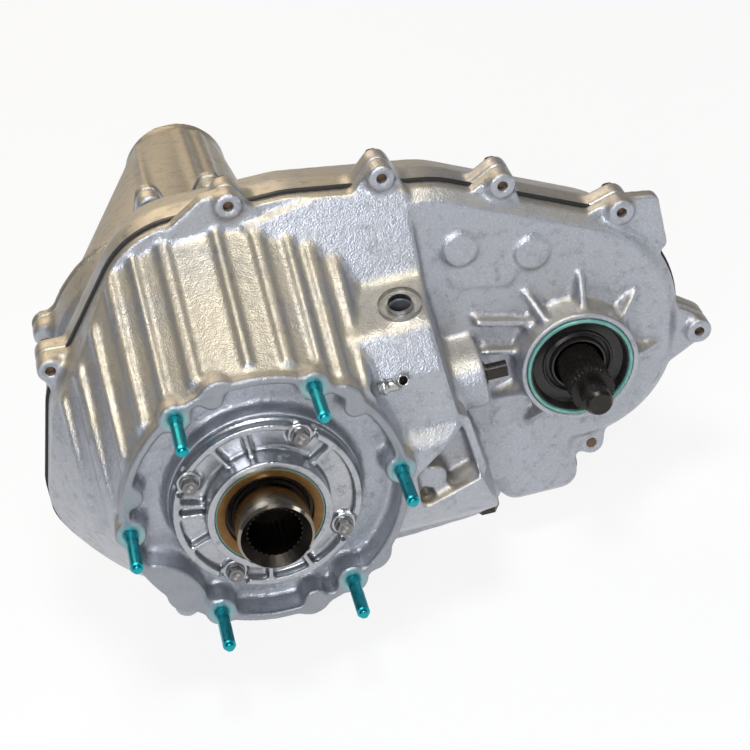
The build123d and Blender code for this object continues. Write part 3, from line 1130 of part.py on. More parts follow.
with BuildPart() as sector_shaft:
    with BuildSketch(Plane.YZ.offset(SECTOR_PLATE_X)) as sector_round:
        with Locations((SECTOR_Y, SECTOR_Z)):
            Circle(SECTOR_SHAFT_R)
    extrude(sector_round.sketch, amount=SECTOR_BOSS_END_X + 3 - SECTOR_PLATE_X)
    with BuildSketch(Plane.YZ.offset(SECTOR_BOSS_END_X + 3)) as sector_flats:
        with Locations((SECTOR_Y, SECTOR_Z)):
            Circle(SECTOR_SHAFT_R * 0.72)
            Rectangle(SECTOR_SHAFT_R, 2 * SECTOR_SHAFT_R, mode=Mode.INTERSECT)
    extrude(sector_flats.sketch, amount=SECTOR_SHAFT_END_X - SECTOR_BOSS_END_X - 3)
sector_shaft.part.label = "sector_shaft"
export_step(sector_shaft.part, "parts/sector_shaft.step")

with BuildPart() as sector_plate:
    with BuildSketch(Plane.YZ.offset(SECTOR_PLATE_X)) as plate_outline:
        wrap([(SECTOR_Y, SECTOR_Z, 18), (RANGE_PIN_Y - 3, RAIL_Z + 3, FOLLOWER_R + 11)])
        with Locations((SECTOR_Y, SECTOR_Z)):
            Circle(SECTOR_SHAFT_R + SNUG, mode=Mode.SUBTRACT)
        slot_points = []
        for step in range(CAM_STEPS + 1):
            share = step / CAM_STEPS
            pin = (RANGE_PIN_Y + COLLAR_TRAVEL * share - SECTOR_Y, RAIL_Z - SECTOR_Z)
            back = radians(SECTOR_SWING * share)
            slot_points.append((SECTOR_Y + pin[0] * cos(back) - pin[1] * sin(back),
                                SECTOR_Z + pin[0] * sin(back) + pin[1] * cos(back)))
        for start, end in zip(slot_points, slot_points[1:]):
            wrap([(*start, FOLLOWER_R + ROOM), (*end, FOLLOWER_R + ROOM)], mode=Mode.SUBTRACT)
    extrude(plate_outline.sketch, amount=SECTOR_PLATE)
sector_plate.part.label = "sector_plate"
export_step(sector_plate.part, "parts/sector_plate.step")


def fork(groove_y, groove_r, rim_r, tube_front_y, tube_back_y):
    """Shift fork: a horseshoe in the collar's groove, an arm, and a tube that slides on the rail."""
    plate_y = groove_y + (GROOVE_WIDTH - FORK_THICKNESS) / 2
    with BuildSketch(station(plate_y + FORK_THICKNESS)) as horseshoe:
        wrap([(0, 0, rim_r + 6), (RAIL_X, RAIL_Z, FORK_TUBE_R)])
        Circle(groove_r + ROOM, mode=Mode.SUBTRACT)
        with Locations((-8, 0)):
            Rectangle(2 * rim_r, 4 * rim_r, align=(Align.MAX, Align.CENTER), mode=Mode.SUBTRACT)
    slab(horseshoe, FORK_THICKNESS)
    collar(tube_front_y, tube_back_y, FORK_TUBE_R, x=RAIL_X, z=RAIL_Z)
    collar(tube_front_y, tube_back_y, RAIL_R + FIT, x=RAIL_X, z=RAIL_Z, mode=Mode.SUBTRACT)


with BuildPart() as range_fork:
    fork(GROOVE_Y, COLLAR_GROOVE_R, COLLAR_RIM_R, RANGE_PIN_Y - 5.5, RANGE_PIN_Y + 5.5)
    with BuildSketch(Plane.YZ.offset(RAIL_X + FORK_TUBE_R - 2)) as follower:
        with Locations((RANGE_PIN_Y, RAIL_Z)):
            Circle(FOLLOWER_R)
    extrude(follower.sketch, amount=SECTOR_PLATE_X + SECTOR_PLATE - RAIL_X - FORK_TUBE_R + 2)
range_fork.part.label = "range_fork"
export_step(range_fork.part, "parts/range_fork.step")

with BuildPart() as mode_fork:
    fork(SLEEVE_GROOVE_Y, SLEEVE_GROOVE_R, SLEEVE_R, SLEEVE_GROOVE_Y - 4, SLEEVE_GROOVE_Y + GROOVE_WIDTH + 4)
mode_fork.part.label = "mode_fork"
export_step(mode_fork.part, "parts/mode_fork.step")
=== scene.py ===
from math import cos, pi, radians, sin

import bmesh
import bpy
import numpy as np
from mathutils import Matrix, Vector


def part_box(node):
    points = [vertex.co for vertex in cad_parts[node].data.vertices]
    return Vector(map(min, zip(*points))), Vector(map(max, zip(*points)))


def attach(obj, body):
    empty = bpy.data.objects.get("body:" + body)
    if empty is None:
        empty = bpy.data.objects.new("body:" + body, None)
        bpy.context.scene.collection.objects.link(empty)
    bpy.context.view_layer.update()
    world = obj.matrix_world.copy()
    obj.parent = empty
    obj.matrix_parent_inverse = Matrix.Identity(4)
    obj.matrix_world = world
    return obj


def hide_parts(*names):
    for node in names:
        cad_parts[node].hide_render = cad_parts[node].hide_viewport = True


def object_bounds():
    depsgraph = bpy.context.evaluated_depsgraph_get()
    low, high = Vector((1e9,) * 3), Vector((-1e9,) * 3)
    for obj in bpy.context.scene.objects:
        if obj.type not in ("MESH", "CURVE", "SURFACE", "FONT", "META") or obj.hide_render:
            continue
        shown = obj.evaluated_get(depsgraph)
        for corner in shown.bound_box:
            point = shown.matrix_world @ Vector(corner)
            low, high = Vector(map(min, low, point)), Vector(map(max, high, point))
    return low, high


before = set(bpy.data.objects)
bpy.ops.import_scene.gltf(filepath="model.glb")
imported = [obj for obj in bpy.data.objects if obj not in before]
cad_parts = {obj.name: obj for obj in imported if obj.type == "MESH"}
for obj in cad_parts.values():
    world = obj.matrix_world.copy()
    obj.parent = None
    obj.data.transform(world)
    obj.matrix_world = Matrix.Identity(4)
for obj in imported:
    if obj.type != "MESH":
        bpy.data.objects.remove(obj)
cad_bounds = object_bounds()


# Photograph: the camera looks at the adapter side from in front and above, a little from the left.
# Its place and turn were worked out from the studs, the flange and the front output.
# Its lens is long, so parallel ribs stay nearly parallel.
SENSOR_WIDTH = 36
LENS = 110.4
VIEW_LIMIT = 20
CAMERA_PLACE = (-0.04039, -1.40107, 0.98409)
VIEW_RIGHT = Vector((0.96943, -0.19222, -0.15249))
VIEW_DOWN = Vector((-0.23125, -0.50811, -0.82967))
VIEW_FORWARD = Vector((0.08200, 0.83957, -0.53703))


def placed(name, data):
    """Object made of some data, linked into the scene."""
    made = bpy.data.objects.new(name, data)
    bpy.context.collection.objects.link(made)
    return made


camera_data = bpy.data.cameras.new("photo_camera")
camera_data.sensor_width = SENSOR_WIDTH
camera_data.lens = LENS
camera_data.clip_end = VIEW_LIMIT
camera = placed("photo_camera", camera_data)
camera_turn = Matrix((VIEW_RIGHT, -VIEW_DOWN, -VIEW_FORWARD)).transposed().to_4x4()
camera.matrix_world = Matrix.Translation(CAMERA_PLACE) @ camera_turn
bpy.context.scene.camera = camera
bpy.context.scene.view_settings.view_transform = "Standard"


# Table and light: a white table close under the case, a cool panel overhead, a warm one behind, and
# weaker ones in front and on the right, all soft. The table shows nearly white to the camera and in
# what the metal mirrors, and it keeps the case's shadow.
FLOOR_GAP = 0.004
FLOOR_HALF = 6.0
FLOOR_WHITE = 0.86
FLOOR_PAPER = (0.86, 0.86, 0.86, 1)
ROOM_STRENGTH = 0.55
ROOM_BELOW = (0.20, 0.21, 0.24, 1)
ROOM_LEVEL = (0.26, 0.27, 0.30, 1)
ROOM_ABOVE = (0.74, 0.68, 0.57, 1)


def combine(tree, operation, first, second=0.0):
    """Math node on two sources, either of which may be a plain number."""
    node = tree.nodes.new("ShaderNodeMath")
    node.operation = operation
    for index, source in enumerate((first, second)):
        if isinstance(source, (int, float)):
            node.inputs[index].default_value = source
        else:
            tree.links.new(source, node.inputs[index])
    return node.outputs[0]


def axes(tree, vector):
    """The X, Y and Z of a vector, as sockets by name."""
    split = tree.nodes.new("ShaderNodeSeparateXYZ")
    tree.links.new(vector, split.inputs[0])
    return split.outputs


floor_height = cad_bounds[0][2] - FLOOR_GAP
floor_corners = [(-FLOOR_HALF, -FLOOR_HALF), (FLOOR_HALF, -FLOOR_HALF), (FLOOR_HALF, FLOOR_HALF),
                 (-FLOOR_HALF, FLOOR_HALF)]
floor_mesh = bpy.data.meshes.new("floor")
floor_mesh.from_pydata([(x, y, floor_height) for x, y in floor_corners], [], [(0, 1, 2, 3)])
floor = placed("floor", floor_mesh)

floor_paper = bpy.data.materials.new("floor_paper")
floor_paper.use_nodes = True
tree = floor_paper.node_tree
paper = tree.nodes["Principled BSDF"]
paper.inputs["Base Color"].default_value = FLOOR_PAPER
paper.inputs["Roughness"].default_value = 0.9
white = tree.nodes.new("ShaderNodeEmission")
white.inputs["Color"].default_value = (1, 1, 1, 1)
ray = tree.nodes.new("ShaderNodeLightPath").outputs
seen = combine(tree, "MAXIMUM", ray["Is Camera Ray"], ray["Is Glossy Ray"])
seen = combine(tree, "MAXIMUM", seen, ray["Is Transmission Ray"])
mix = tree.nodes.new("ShaderNodeMixShader")
tree.links.new(combine(tree, "MULTIPLY", seen, FLOOR_WHITE), mix.inputs[0])
tree.links.new(paper.outputs[0], mix.inputs[1])
tree.links.new(white.outputs[0], mix.inputs[2])
tree.links.new(mix.outputs[0], tree.nodes["Material Output"].inputs["Surface"])
floor_mesh.materials.append(floor_paper)

world = bpy.data.worlds.new("studio")
bpy.context.scene.world = world
world.use_nodes = True
tree = world.node_tree
room = tree.nodes["Background"]
room.inputs["Strength"].default_value = ROOM_STRENGTH
height = axes(tree, tree.nodes.new("ShaderNodeNewGeometry").outputs["Normal"])["Z"]
lift = tree.nodes.new("ShaderNodeMapRange")
lift.inputs["From Min"].default_value = -1
tree.links.new(height, lift.inputs["Value"])
bands = tree.nodes.new("ShaderNodeValToRGB")
below, above = bands.color_ramp.elements
below.position, above.position = 0.0, 1.0
below.color = ROOM_BELOW
above.color = ROOM_ABOVE
bands.color_ramp.elements.new(0.5).color = ROOM_LEVEL
tree.links.new(lift.outputs[0], bands.inputs[0])
tree.links.new(bands.outputs[0], room.inputs["Color"])


def soft_light(name, place, aim, size, power, colour):
    """Square lamp panel that faces a point of the case."""
    data = bpy.data.lights.new(name, "AREA")
    data.size = size
    data.energy = power
    data.color = colour
    lamp = placed(name, data)
    lamp.location = place
    lamp.rotation_euler = (Vector(aim) - Vector(place)).to_track_quat("-Z", "Y").to_euler()


soft_light("overhead_panel", (0.10, -0.62, 2.0), (0.08, 0.05, 0), 0.55, 30, (0.96, 0.98, 1.0))
soft_light("rear_panel", (-0.3, 1.8, 1.5), (0.05, 0.1, 0), 1.2, 18, (1.0, 0.86, 0.68))
soft_light("front_panel", (-0.25, -1.25, 0.75), (0.02, 0, 0.06), 0.45, 13, (0.95, 0.97, 1.0))
soft_light("right_panel", (2.0, -0.9, 0.7), (0.1, 0, 0), 0.6, 4, (0.94, 0.97, 1.0))


# Castings: the front case, rear case and tail housing are bare sand cast aluminium, bolted together.
# Their corners are soft and their skin is grainy, silver where it faces the front, and where it faces up
# it has a painted warm light in beige, in clouds. Only the faces and bores that seal were machined.
FLOAT = "NodeSocketFloat"
COLOUR = "NodeSocketColor"
PALE_SPECK = (0.80, 0.82, 0.86, 1)
PAINTED_EDGE_HIGHLIGHT = (0.74, 0.74, 0.75, 1)
MACHINED_FACE_SHADE = (0.27, 0.28, 0.305, 1)
TEAL_STUD_REFLECTION = (0.22, 0.47, 0.48, 1)

# Turned pieces and bolts are placed in millimetres, and the castings' own sizes are in metres.
STUD_CIRCLE = 103.2
OUTPUT_X = 264
LUG_BOLTS = [(22.5, 191.5), (138.5, 185.5), (228, 156), (317, 110), (369.5, -13), (272.5, -98), (-135, 89),
             (-78, -158), (30, -163)]
LUG_FRONT = 0.100
LUG_BORE_END = 0.1145
LUG_BORE_R = 0.0041
POCKET_CORNER_FILL = (0.1195, -0.0435, 0.034, 0.046, 0.007)
WELD = 1e-6
BAR_SIDES = 40
BORE_EDGE = 50
PULL_IN = 0.55
PUSH_BACK = -0.42
STUD_REFLECTION_FULL_R = 0.0065
STUD_REFLECTION_END_R = 0.0125
FLANGE_FACE = 0.0012
FRONT_PARTING = 0.1238
REAR_PARTING = 0.127
TAIL_END = 0.5735
HUB_ZONE = (0.0, 0.0, 0.0745, 0.0065, 0.012)
OUTPUT_ZONE = (OUTPUT_X / 1000, 0.0400, 0.0480, 0.077, 0.094)


def shader_group(name, inputs, outputs):
    """New shader node group, with the sockets that it reads from and those that it fills."""
    group = bpy.data.node_groups.new(name, "ShaderNodeTree")
    for socket, kind, value in inputs:
        group.interface.new_socket(name=socket, in_out="INPUT", socket_type=kind).default_value = value
    for socket, kind in outputs:
        group.interface.new_socket(name=socket, in_out="OUTPUT", socket_type=kind)
    return group, group.nodes.new("NodeGroupInput").outputs, group.nodes.new("NodeGroupOutput").inputs


def object_place(tree):
    """Place of a point on its own object."""
    return tree.nodes.new("ShaderNodeTexCoord").outputs["Object"]


def noise(tree, scale, detail, roughness=0.5):
    """Noise over the object's own coordinates."""
    texture = tree.nodes.new("ShaderNodeTexNoise")
    texture.inputs["Scale"].default_value = scale
    texture.inputs["Detail"].default_value = detail
    texture.inputs["Roughness"].default_value = roughness
    tree.links.new(object_place(tree), texture.inputs["Vector"])
    return texture.outputs["Fac"]


def remap(tree, source, low, high, to_low, to_high):
    """Clamped smooth ramp of a value."""
    ramp = tree.nodes.new("ShaderNodeMapRange")
    ramp.interpolation_type = "SMOOTHSTEP"
    ramp.inputs["From Min"].default_value = low
    ramp.inputs["From Max"].default_value = high
    ramp.inputs["To Min"].default_value = to_low
    ramp.inputs["To Max"].default_value = to_high
    tree.links.new(source, ramp.inputs["Value"])
    return ramp.outputs[0]


def reach_of(tree, across, up):
    """Distance that two lengths at right angles span."""
    squares = combine(tree, "ADD", combine(tree, "POWER", across, 2.0), combine(tree, "POWER", up, 2.0))
    return combine(tree, "SQRT", squares)


def tint(tree, amount, first, second):
    """Blend of two colours, each a socket or a plain colour."""
    node = tree.nodes.new("ShaderNodeMix")
    node.data_type = "RGBA"
    tree.links.new(amount, node.inputs["Factor"])
    for name, source in (("A", first), ("B", second)):
        if isinstance(source, tuple):
            node.inputs[name].default_value = source
        else:
            tree.links.new(source, node.inputs[name])
    return node.outputs["Result"]


# Where the skin faces up, the group paints a warm light in beige.
cast_skin, skin_in, skin_out = shader_group(
    "cast_skin",
    [("Silver", COLOUR, (0.40, 0.415, 0.455, 1)), ("Painted warm light", COLOUR, (0.50, 0.44, 0.335, 1)),
     ("Stain and crease shade", COLOUR, (0.17, 0.165, 0.165, 1)), ("Warm light share", FLOAT, 0.9), ("Gloss", FLOAT, 0.33)],
    [("Color", COLOUR), ("Roughness", FLOAT), ("Height", FLOAT)])
surface = cast_skin.nodes.new("ShaderNodeNewGeometry").outputs
spot = axes(cast_skin, object_place(cast_skin))

# What looks up gets painted warm light in beige, in clouds, less to the right, not on the flange's front.
upward = remap(cast_skin, axes(cast_skin, surface["Normal"])["Z"], 0.25, 0.80, 0.0, 1.0)
clouds = remap(cast_skin, noise(cast_skin, 26, 5), 0.30, 0.72, -0.25, 0.20)
bell_side = remap(cast_skin, spot["X"], 0.060, 0.200, 1.0, 0.7)
behind_flange = remap(cast_skin, spot["Y"], 0.024, 0.030, 0.0, 1.0)
beside_flange = remap(cast_skin, reach_of(cast_skin, spot["X"], spot["Z"]), 0.1035, 0.1065, 0.0, 1.0)
warm_light_and_tone = combine(cast_skin, "MULTIPLY", combine(cast_skin, "ADD", upward, clouds), skin_in["Warm light share"])
warm_light_and_tone = combine(cast_skin, "MULTIPLY", warm_light_and_tone, bell_side)
warm_light_and_tone = combine(cast_skin, "MULTIPLY", warm_light_and_tone, combine(cast_skin, "MAXIMUM", behind_flange, beside_flange))
warm_light_and_tone = remap(cast_skin, warm_light_and_tone, 0.0, 1.0, 0.0, 1.0)
tone = tint(cast_skin, warm_light_and_tone, skin_in["Silver"], skin_in["Painted warm light"])

# Stains lie in blotches with pale specks between, creases get painted shade, edges a painted highlight.
blotches = noise(cast_skin, 95, 6, 0.7)
tone = tint(cast_skin, remap(cast_skin, blotches, 0.50, 0.74, 0.0, 0.55), tone, skin_in["Stain and crease shade"])
specks = remap(cast_skin, noise(cast_skin, 520, 3, 0.7), 0.46, 0.70, 0.0, 0.22)
specks = combine(cast_skin, "MULTIPLY", specks, remap(cast_skin, warm_light_and_tone, 0.0, 1.0, 1.0, 0.35))
tone = tint(cast_skin, specks, tone, PALE_SPECK)
# Painted shade darkens the creases, in the stain colour.
creases = remap(cast_skin, surface["Pointiness"], 0.445, 0.494, 0.75, 0.0)
tone = tint(cast_skin, creases, tone, skin_in["Stain and crease shade"])
# A painted highlight lightens the edges.
edges = remap(cast_skin, surface["Pointiness"], 0.52, 0.60, 0.0, 0.55)
tone = tint(cast_skin, edges, tone, PAINTED_EDGE_HIGHLIGHT)
cast_skin.links.new(tone, skin_out["Color"])

sand = combine(cast_skin, "MULTIPLY", noise(cast_skin, 800, 2), 0.9)
orange_peel = noise(cast_skin, 240, 4, 0.6)
cast_skin.links.new(combine(cast_skin, "ADD", sand, orange_peel), skin_out["Height"])
dullness = combine(cast_skin, "ADD", remap(cast_skin, blotches, 0.30, 0.70, 0.0, 0.12), skin_in["Gloss"])
dullness = combine(cast_skin, "ADD", dullness, combine(cast_skin, "MULTIPLY", warm_light_and_tone, 0.12))
cast_skin.links.new(dullness, skin_out["Roughness"])


def finished(name, group, values, bump, metallic=1.0):
    """Material whose colour, roughness and relief come from a shader group; bump is in metres."""
    material = bpy.data.materials.new(name)
    material.use_nodes = True
    tree = material.node_tree
    surface = tree.nodes["Principled BSDF"]
    surface.inputs["Metallic"].default_value = metallic
    finish = tree.nodes.new("ShaderNodeGroup")
    finish.node_tree = group
    for socket, value in values.items():
        finish.inputs[socket].default_value = value
    tree.links.new(finish.outputs["Color"], surface.inputs["Base Color"])
    tree.links.new(finish.outputs["Roughness"], surface.inputs["Roughness"])
    relief = tree.nodes.new("ShaderNodeBump")
    relief.inputs["Strength"].default_value = 1.0
    relief.inputs["Distance"].default_value = bump
    tree.links.new(finish.outputs["Height"], relief.inputs["Height"])
    tree.links.new(relief.outputs[0], surface.inputs["Normal"])
    return material


def flange_shade_and_stud_reflection(material):
    """Paint shade on the machined flange face, and a pale teal painted reflection of the studs round them.
    """
    tree = material.node_tree
    spot = axes(tree, object_place(tree))
    # A pale teal painted reflection of the studs lies round each of them on the flange face.
    turn = combine(tree, "ADD", combine(tree, "ARCTAN2", spot["Z"], spot["X"]), pi / 6)
    turn = combine(tree, "SUBTRACT", combine(tree, "FLOORED_MODULO", turn, pi / 3), pi / 6)
    reach = reach_of(tree, spot["X"], spot["Z"])
    along = combine(tree, "MULTIPLY", reach, combine(tree, "COSINE", turn))
    along = combine(tree, "SUBTRACT", along, STUD_CIRCLE / 1000)
    aside = combine(tree, "MULTIPLY", reach, combine(tree, "SINE", turn))
    near = remap(tree, reach_of(tree, along, aside), STUD_REFLECTION_FULL_R, STUD_REFLECTION_END_R, 0.75, 0.0)
    # Painted shade darkens the machined flange face.
    face = remap(tree, spot["Y"], 0.0015, 0.004, 1.0, 0.0)
    colour = tree.nodes["Principled BSDF"].inputs["Base Color"]
    face_shaded = tint(tree, combine(tree, "MULTIPLY", face, 0.7), colour.links[0].from_socket, MACHINED_FACE_SHADE)
    tree.links.new(tint(tree, combine(tree, "MULTIPLY", near, face), face_shaded, TEAL_STUD_REFLECTION), colour)


def welded(node):
    """Editable copy of a CAD node's mesh with its seams closed."""
    building = bmesh.new()
    building.from_mesh(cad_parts[node].data)
    bmesh.ops.remove_doubles(building, verts=building.verts, dist=WELD)
    return building


def meshed(name, building):
    """Mesh of an editable mesh, which is then done with."""
    mesh = bpy.data.meshes.new(name)
    building.to_mesh(mesh)
    building.free()
    return mesh


def applied(made):
    """Apply an object's modifiers and give its new mesh."""
    shown = made.evaluated_get(bpy.context.evaluated_depsgraph_get())
    mesh = bpy.data.meshes.new_from_object(shown)
    made.modifiers.clear()
    made.data = mesh
    return mesh


def round_bar(building, x, z, front, back, radius):
    """Add a round bar along the shafts to an editable mesh."""
    bar = bmesh.ops.create_cone(building, segments=BAR_SIDES, radius1=radius, radius2=radius,
                                depth=back - front, cap_ends=True)["verts"]
    bmesh.ops.rotate(building, verts=bar, matrix=Matrix.Rotation(pi / 2, 3, "X"))
    bmesh.ops.translate(building, verts=bar, vec=(x, (front + back) / 2, z))


def evened(points, edges, free, passes):
    """Round a mesh off: each free point is drawn to its neighbours and partly back, pass by pass."""
    count = np.bincount(edges.ravel(), minlength=len(points))[:, None].clip(1)
    for index in range(2 * passes):
        near = np.zeros_like(points)
        for axis in range(3):
            near[:, axis] += np.bincount(edges[:, 0], points[edges[:, 1], axis], len(points))
            near[:, axis] += np.bincount(edges[:, 1], points[edges[:, 0], axis], len(points))
        pull = PULL_IN if index % 2 == 0 else PUSH_BACK
        points = points + pull * free[:, None] * (near / count - points)
    return points


def casting(node, name, material, grain, fillet, passes, kept, bores=(), fills=()):
    """Recast a node's solid with cast fillets and soft corners, keeping what was machined.

    grain is the size of the blocks that it is rebuilt from, and kept gives how far each point stays put.
    Swelling and shrinking by the fillet closes the inner corners, and a last rebuild evens the blocks.
    """
    building = welded(node)
    for fill in fills:
        round_bar(building, *fill)
    made = placed(name, meshed(name, building))
    for step, swell in enumerate((fillet, -fillet, 0.0)):
        blocks = made.modifiers.new(f"blocks_{step}", "REMESH")
        blocks.mode = "VOXEL"
        blocks.voxel_size = grain
        skin = made.modifiers.new(f"skin_{step}", "DISPLACE")
        skin.mid_level = 0.0
        skin.strength = swell
    lowest, highest = (np.array(corner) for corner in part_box(node))
    recast = applied(made)
    points = np.empty(len(recast.vertices) * 3)
    recast.vertices.foreach_get("co", points)
    points = points.reshape(-1, 3)
    edges = np.empty(len(recast.edges) * 2, dtype=np.int64)
    recast.edges.foreach_get("vertices", edges)
    points = evened(points, edges.reshape(-1, 2), 1.0 - kept(points), passes).clip(lowest, highest)
    recast.vertices.foreach_set("co", points.ravel())
    recast.polygons.foreach_set("use_smooth", [True] * len(recast.polygons))
    recast.update()
    if bores:
        drills = bmesh.new()
        for bore in bores:
            round_bar(drills, *bore)
        drill_block = placed("drills", meshed("drills", drills))
        cut = made.modifiers.new("bores", "BOOLEAN")
        cut.solver = "MANIFOLD"
        cut.object = drill_block
        recast = applied(made)
        bpy.data.objects.remove(drill_block)
        recast.set_sharp_from_angle(angle=radians(BORE_EDGE))
    recast.materials.clear()
    recast.materials.append(material)
    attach(made, "case")
    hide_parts(node)


def ring_zone(points, x, inner, outer, front, back):
    """True for the points of a ring along the shafts whose axis is at x, at the shafts' height."""
    reach = np.hypot(points[:, 0] - x, points[:, 2])
    return (reach > inner) & (reach < outer) & (points[:, 1] > front) & (points[:, 1] < back)


def front_machined(points):
    """Flange face, parting face, bearing hub and front output bore stay sharp."""
    kept = 0.45 * (points[:, 1] < FLANGE_FACE) + 0.9 * (points[:, 1] > FRONT_PARTING)
    kept = np.maximum(kept, 0.9 * ring_zone(points, *HUB_ZONE))
    return np.maximum(kept, 0.85 * ring_zone(points, *OUTPUT_ZONE))


def rear_machined(points):
    """The parting face stays sharp."""
    return 0.9 * (points[:, 1] < REAR_PARTING)


def tail_machined(points):
    """The tail's end, where its seal sits, stays sharp."""
    return 0.9 * (points[:, 1] > TAIL_END)


cast_aluminium = finished("cast_aluminium", cast_skin, {}, bump=0.0002, metallic=0.8)
flange_aluminium = finished("flange_aluminium", cast_skin, {}, bump=0.0004, metallic=0.8)
flange_shade_and_stud_reflection(flange_aluminium)
# The tail takes the painted warm light in full.
tail_aluminium = finished(
    "tail_aluminium", cast_skin, {"Warm light share": 1.0, "Silver": (0.36, 0.345, 0.31, 1)}, bump=0.0005)
lug_bores = [(x / 1000, z / 1000, LUG_FRONT, LUG_BORE_END, LUG_BORE_R) for x, z in LUG_BOLTS]
casting("front_case", "front_casting", flange_aluminium, grain=0.0014, fillet=0.0028, passes=5,
        kept=front_machined, bores=lug_bores, fills=[POCKET_CORNER_FILL])
casting("rear_case", "rear_casting", cast_aluminium, grain=0.0020, fillet=0.0040, passes=4,
        kept=rear_machined)
casting("extension_housing", "tail_casting", tail_aluminium, grain=0.0020, fillet=0.0030, passes=3,
        kept=tail_machined)


# Input bearing retainer: a die cast ring with a neck for the seal, bolt pads and stiffening bars.
# It is finer and brighter than the cases, and its base and seal seat are turned.
RETAINER_BASE = 0.0073
RETAINER_MOUTH = -0.0164


def retainer_machined(points):
    """Turned base and seal seat stay sharp."""
    return np.maximum(0.9 * (points[:, 1] > RETAINER_BASE), 0.8 * (points[:, 1] < RETAINER_MOUTH))


retainer_aluminium = finished("retainer_aluminium", cast_skin, {
    "Silver": (0.43, 0.44, 0.465, 1), "Warm light share": 0.0, "Stain and crease shade": (0.10, 0.10, 0.105, 1), "Gloss": 0.27},
    bump=0.00003)
casting("bearing_retainer", "retainer_casting", retainer_aluminium, grain=0.0008, fillet=0.0012, passes=3,
        kept=retainer_machined)


# Adapter studs: six double ended steel studs with a dog point, screwed into the flange bosses.
# A zinc coating dyed teal covers them, thin enough to shine through on the crests.
STUD_R = 5.0
STUD_WAIST_R = 4.75
STUD_PITCH = 1.5
STUD_THREAD_DEPTH = 0.2
STUD_THREADS = [(-40.5, -14.7), (-7.0, 1.6)]
STUD_BACK = 18.0


def swept_rings(name, rings, material, closed_ends=True):
    """Skin over a row of rings, each a list of corners, with its ends filled if they are closed."""
    corners = [corner for ring in rings for corner in ring]
    around = len(rings[0])
    faces = []
    for ring in range(len(rings) - 1):
        for corner in range(around):
            after = (corner + 1) % around
            faces.append((ring * around + corner, ring * around + after,
                          (ring + 1) * around + after, (ring + 1) * around + corner))
    if closed_ends:
        faces.append(tuple(range(around - 1, -1, -1)))
        faces.append(tuple(range((len(rings) - 1) * around, len(rings) * around)))
    mesh = bpy.data.meshes.new(name)
    mesh.from_pydata(corners, [], faces)
    mesh.polygons.foreach_set("use_smooth", [True] * len(mesh.polygons))
    turned = bmesh.new()
    turned.from_mesh(mesh)
    bmesh.ops.recalc_face_normals(turned, faces=turned.faces)
    turned.to_mesh(mesh)
    turned.free()
    mesh.materials.append(material)
    return placed(name, mesh)


def lathed(name, profile, material, x=0.0, z=0.0, *, around, shape=None, closed_ends=True, sharp=35):
    """Turned piece about a line along the shafts, in millimetres: profile is (radius, depth) corners.

    shape may change the radius with the depth and the angle. Edges past sharp degrees aren't smoothed.
    """
    rings = []
    for radius, depth in profile:
        ring = []
        for step in range(around):
            angle = 2 * pi * step / around
            reach = shape(radius, depth, angle) if shape else radius
            ring.append((x / 1000 + reach * cos(angle) / 1000, depth / 1000,
                         z / 1000 + reach * sin(angle) / 1000))
        rings.append(ring)
    made = swept_rings(name, rings, material, closed_ends)
    building = bmesh.new()
    building.from_mesh(made.data)
    for edge in building.edges:
        if len(edge.link_faces) == 2 and edge.calc_face_angle(0) > radians(sharp):
            edge.smooth = False
    building.to_mesh(made.data)
    building.free()
    return made


def joined(name, pieces):
    """Join like pieces into one object."""
    together = bmesh.new()
    for piece in pieces:
        together.from_mesh(piece.data)
    mesh = meshed(name, together)
    mesh.materials.append(pieces[0].data.materials[0])
    for piece in pieces:
        bpy.data.objects.remove(piece)
    return placed(name, mesh)


def thread_rows(radius, start, pitch, rows):
    """Corners of a profile that are close enough together to hold a thread, four to a pitch."""
    return [(radius, start + pitch / 4 * row) for row in range(rows)]


def thread_cut(depth, angle, pitch):
    """Share of a thread's depth that is cut away at a place on a screw, from 0 on the crest."""
    return abs(2 * ((depth / pitch - angle / (2 * pi)) % 1) - 1)


def stud_shape(radius, depth, angle):
    """Threads at both ends of a stud, with a plain waist between them."""
    if any(low <= depth <= high for low, high in STUD_THREADS):
        return radius - STUD_THREAD_DEPTH * thread_cut(depth, angle, STUD_PITCH)
    return radius


plated, plated_in, plated_out = shader_group(
    "plated_skin",
    [("Plating", COLOUR, (0.5, 0.5, 0.5, 1)), ("Worn", COLOUR, (0.7, 0.7, 0.7, 1)),
     ("Crevice shade", COLOUR, (0.05, 0.05, 0.05, 1)), ("Wear", FLOAT, 0.5), ("Gloss", FLOAT, 0.3)],
    [("Color", COLOUR), ("Roughness", FLOAT), ("Height", FLOAT)])
pointiness = plated.nodes.new("ShaderNodeNewGeometry").outputs["Pointiness"]
patches = noise(plated, 130, 5, 0.65)
bare = combine(plated, "MULTIPLY", remap(plated, patches, 0.50, 0.72, 0.0, 0.8), plated_in["Wear"])
crests = combine(plated, "MULTIPLY", remap(plated, pointiness, 0.53, 0.64, 0.0, 1.0), plated_in["Wear"])
tone = tint(plated, bare, plated_in["Plating"], plated_in["Worn"])
tone = tint(plated, crests, tone, plated_in["Worn"])
# Painted shade darkens the crevices.
tone = tint(plated, remap(plated, pointiness, 0.36, 0.47, 0.8, 0.0), tone, plated_in["Crevice shade"])
dullness = combine(plated, "ADD", plated_in["Gloss"], remap(plated, patches, 0.3, 0.7, -0.06, 0.10))
plated.links.new(tone, plated_out["Color"])
plated.links.new(dullness, plated_out["Roughness"])
plated.links.new(noise(plated, 700, 3), plated_out["Height"])
teal_zinc = finished("teal_zinc", plated, {
    "Plating": (0.020, 0.36, 0.42, 1), "Worn": (0.13, 0.56, 0.60, 1), "Crevice shade": (0.008, 0.12, 0.14, 1),
    "Wear": 0.35, "Gloss": 0.32}, bump=0.00002)

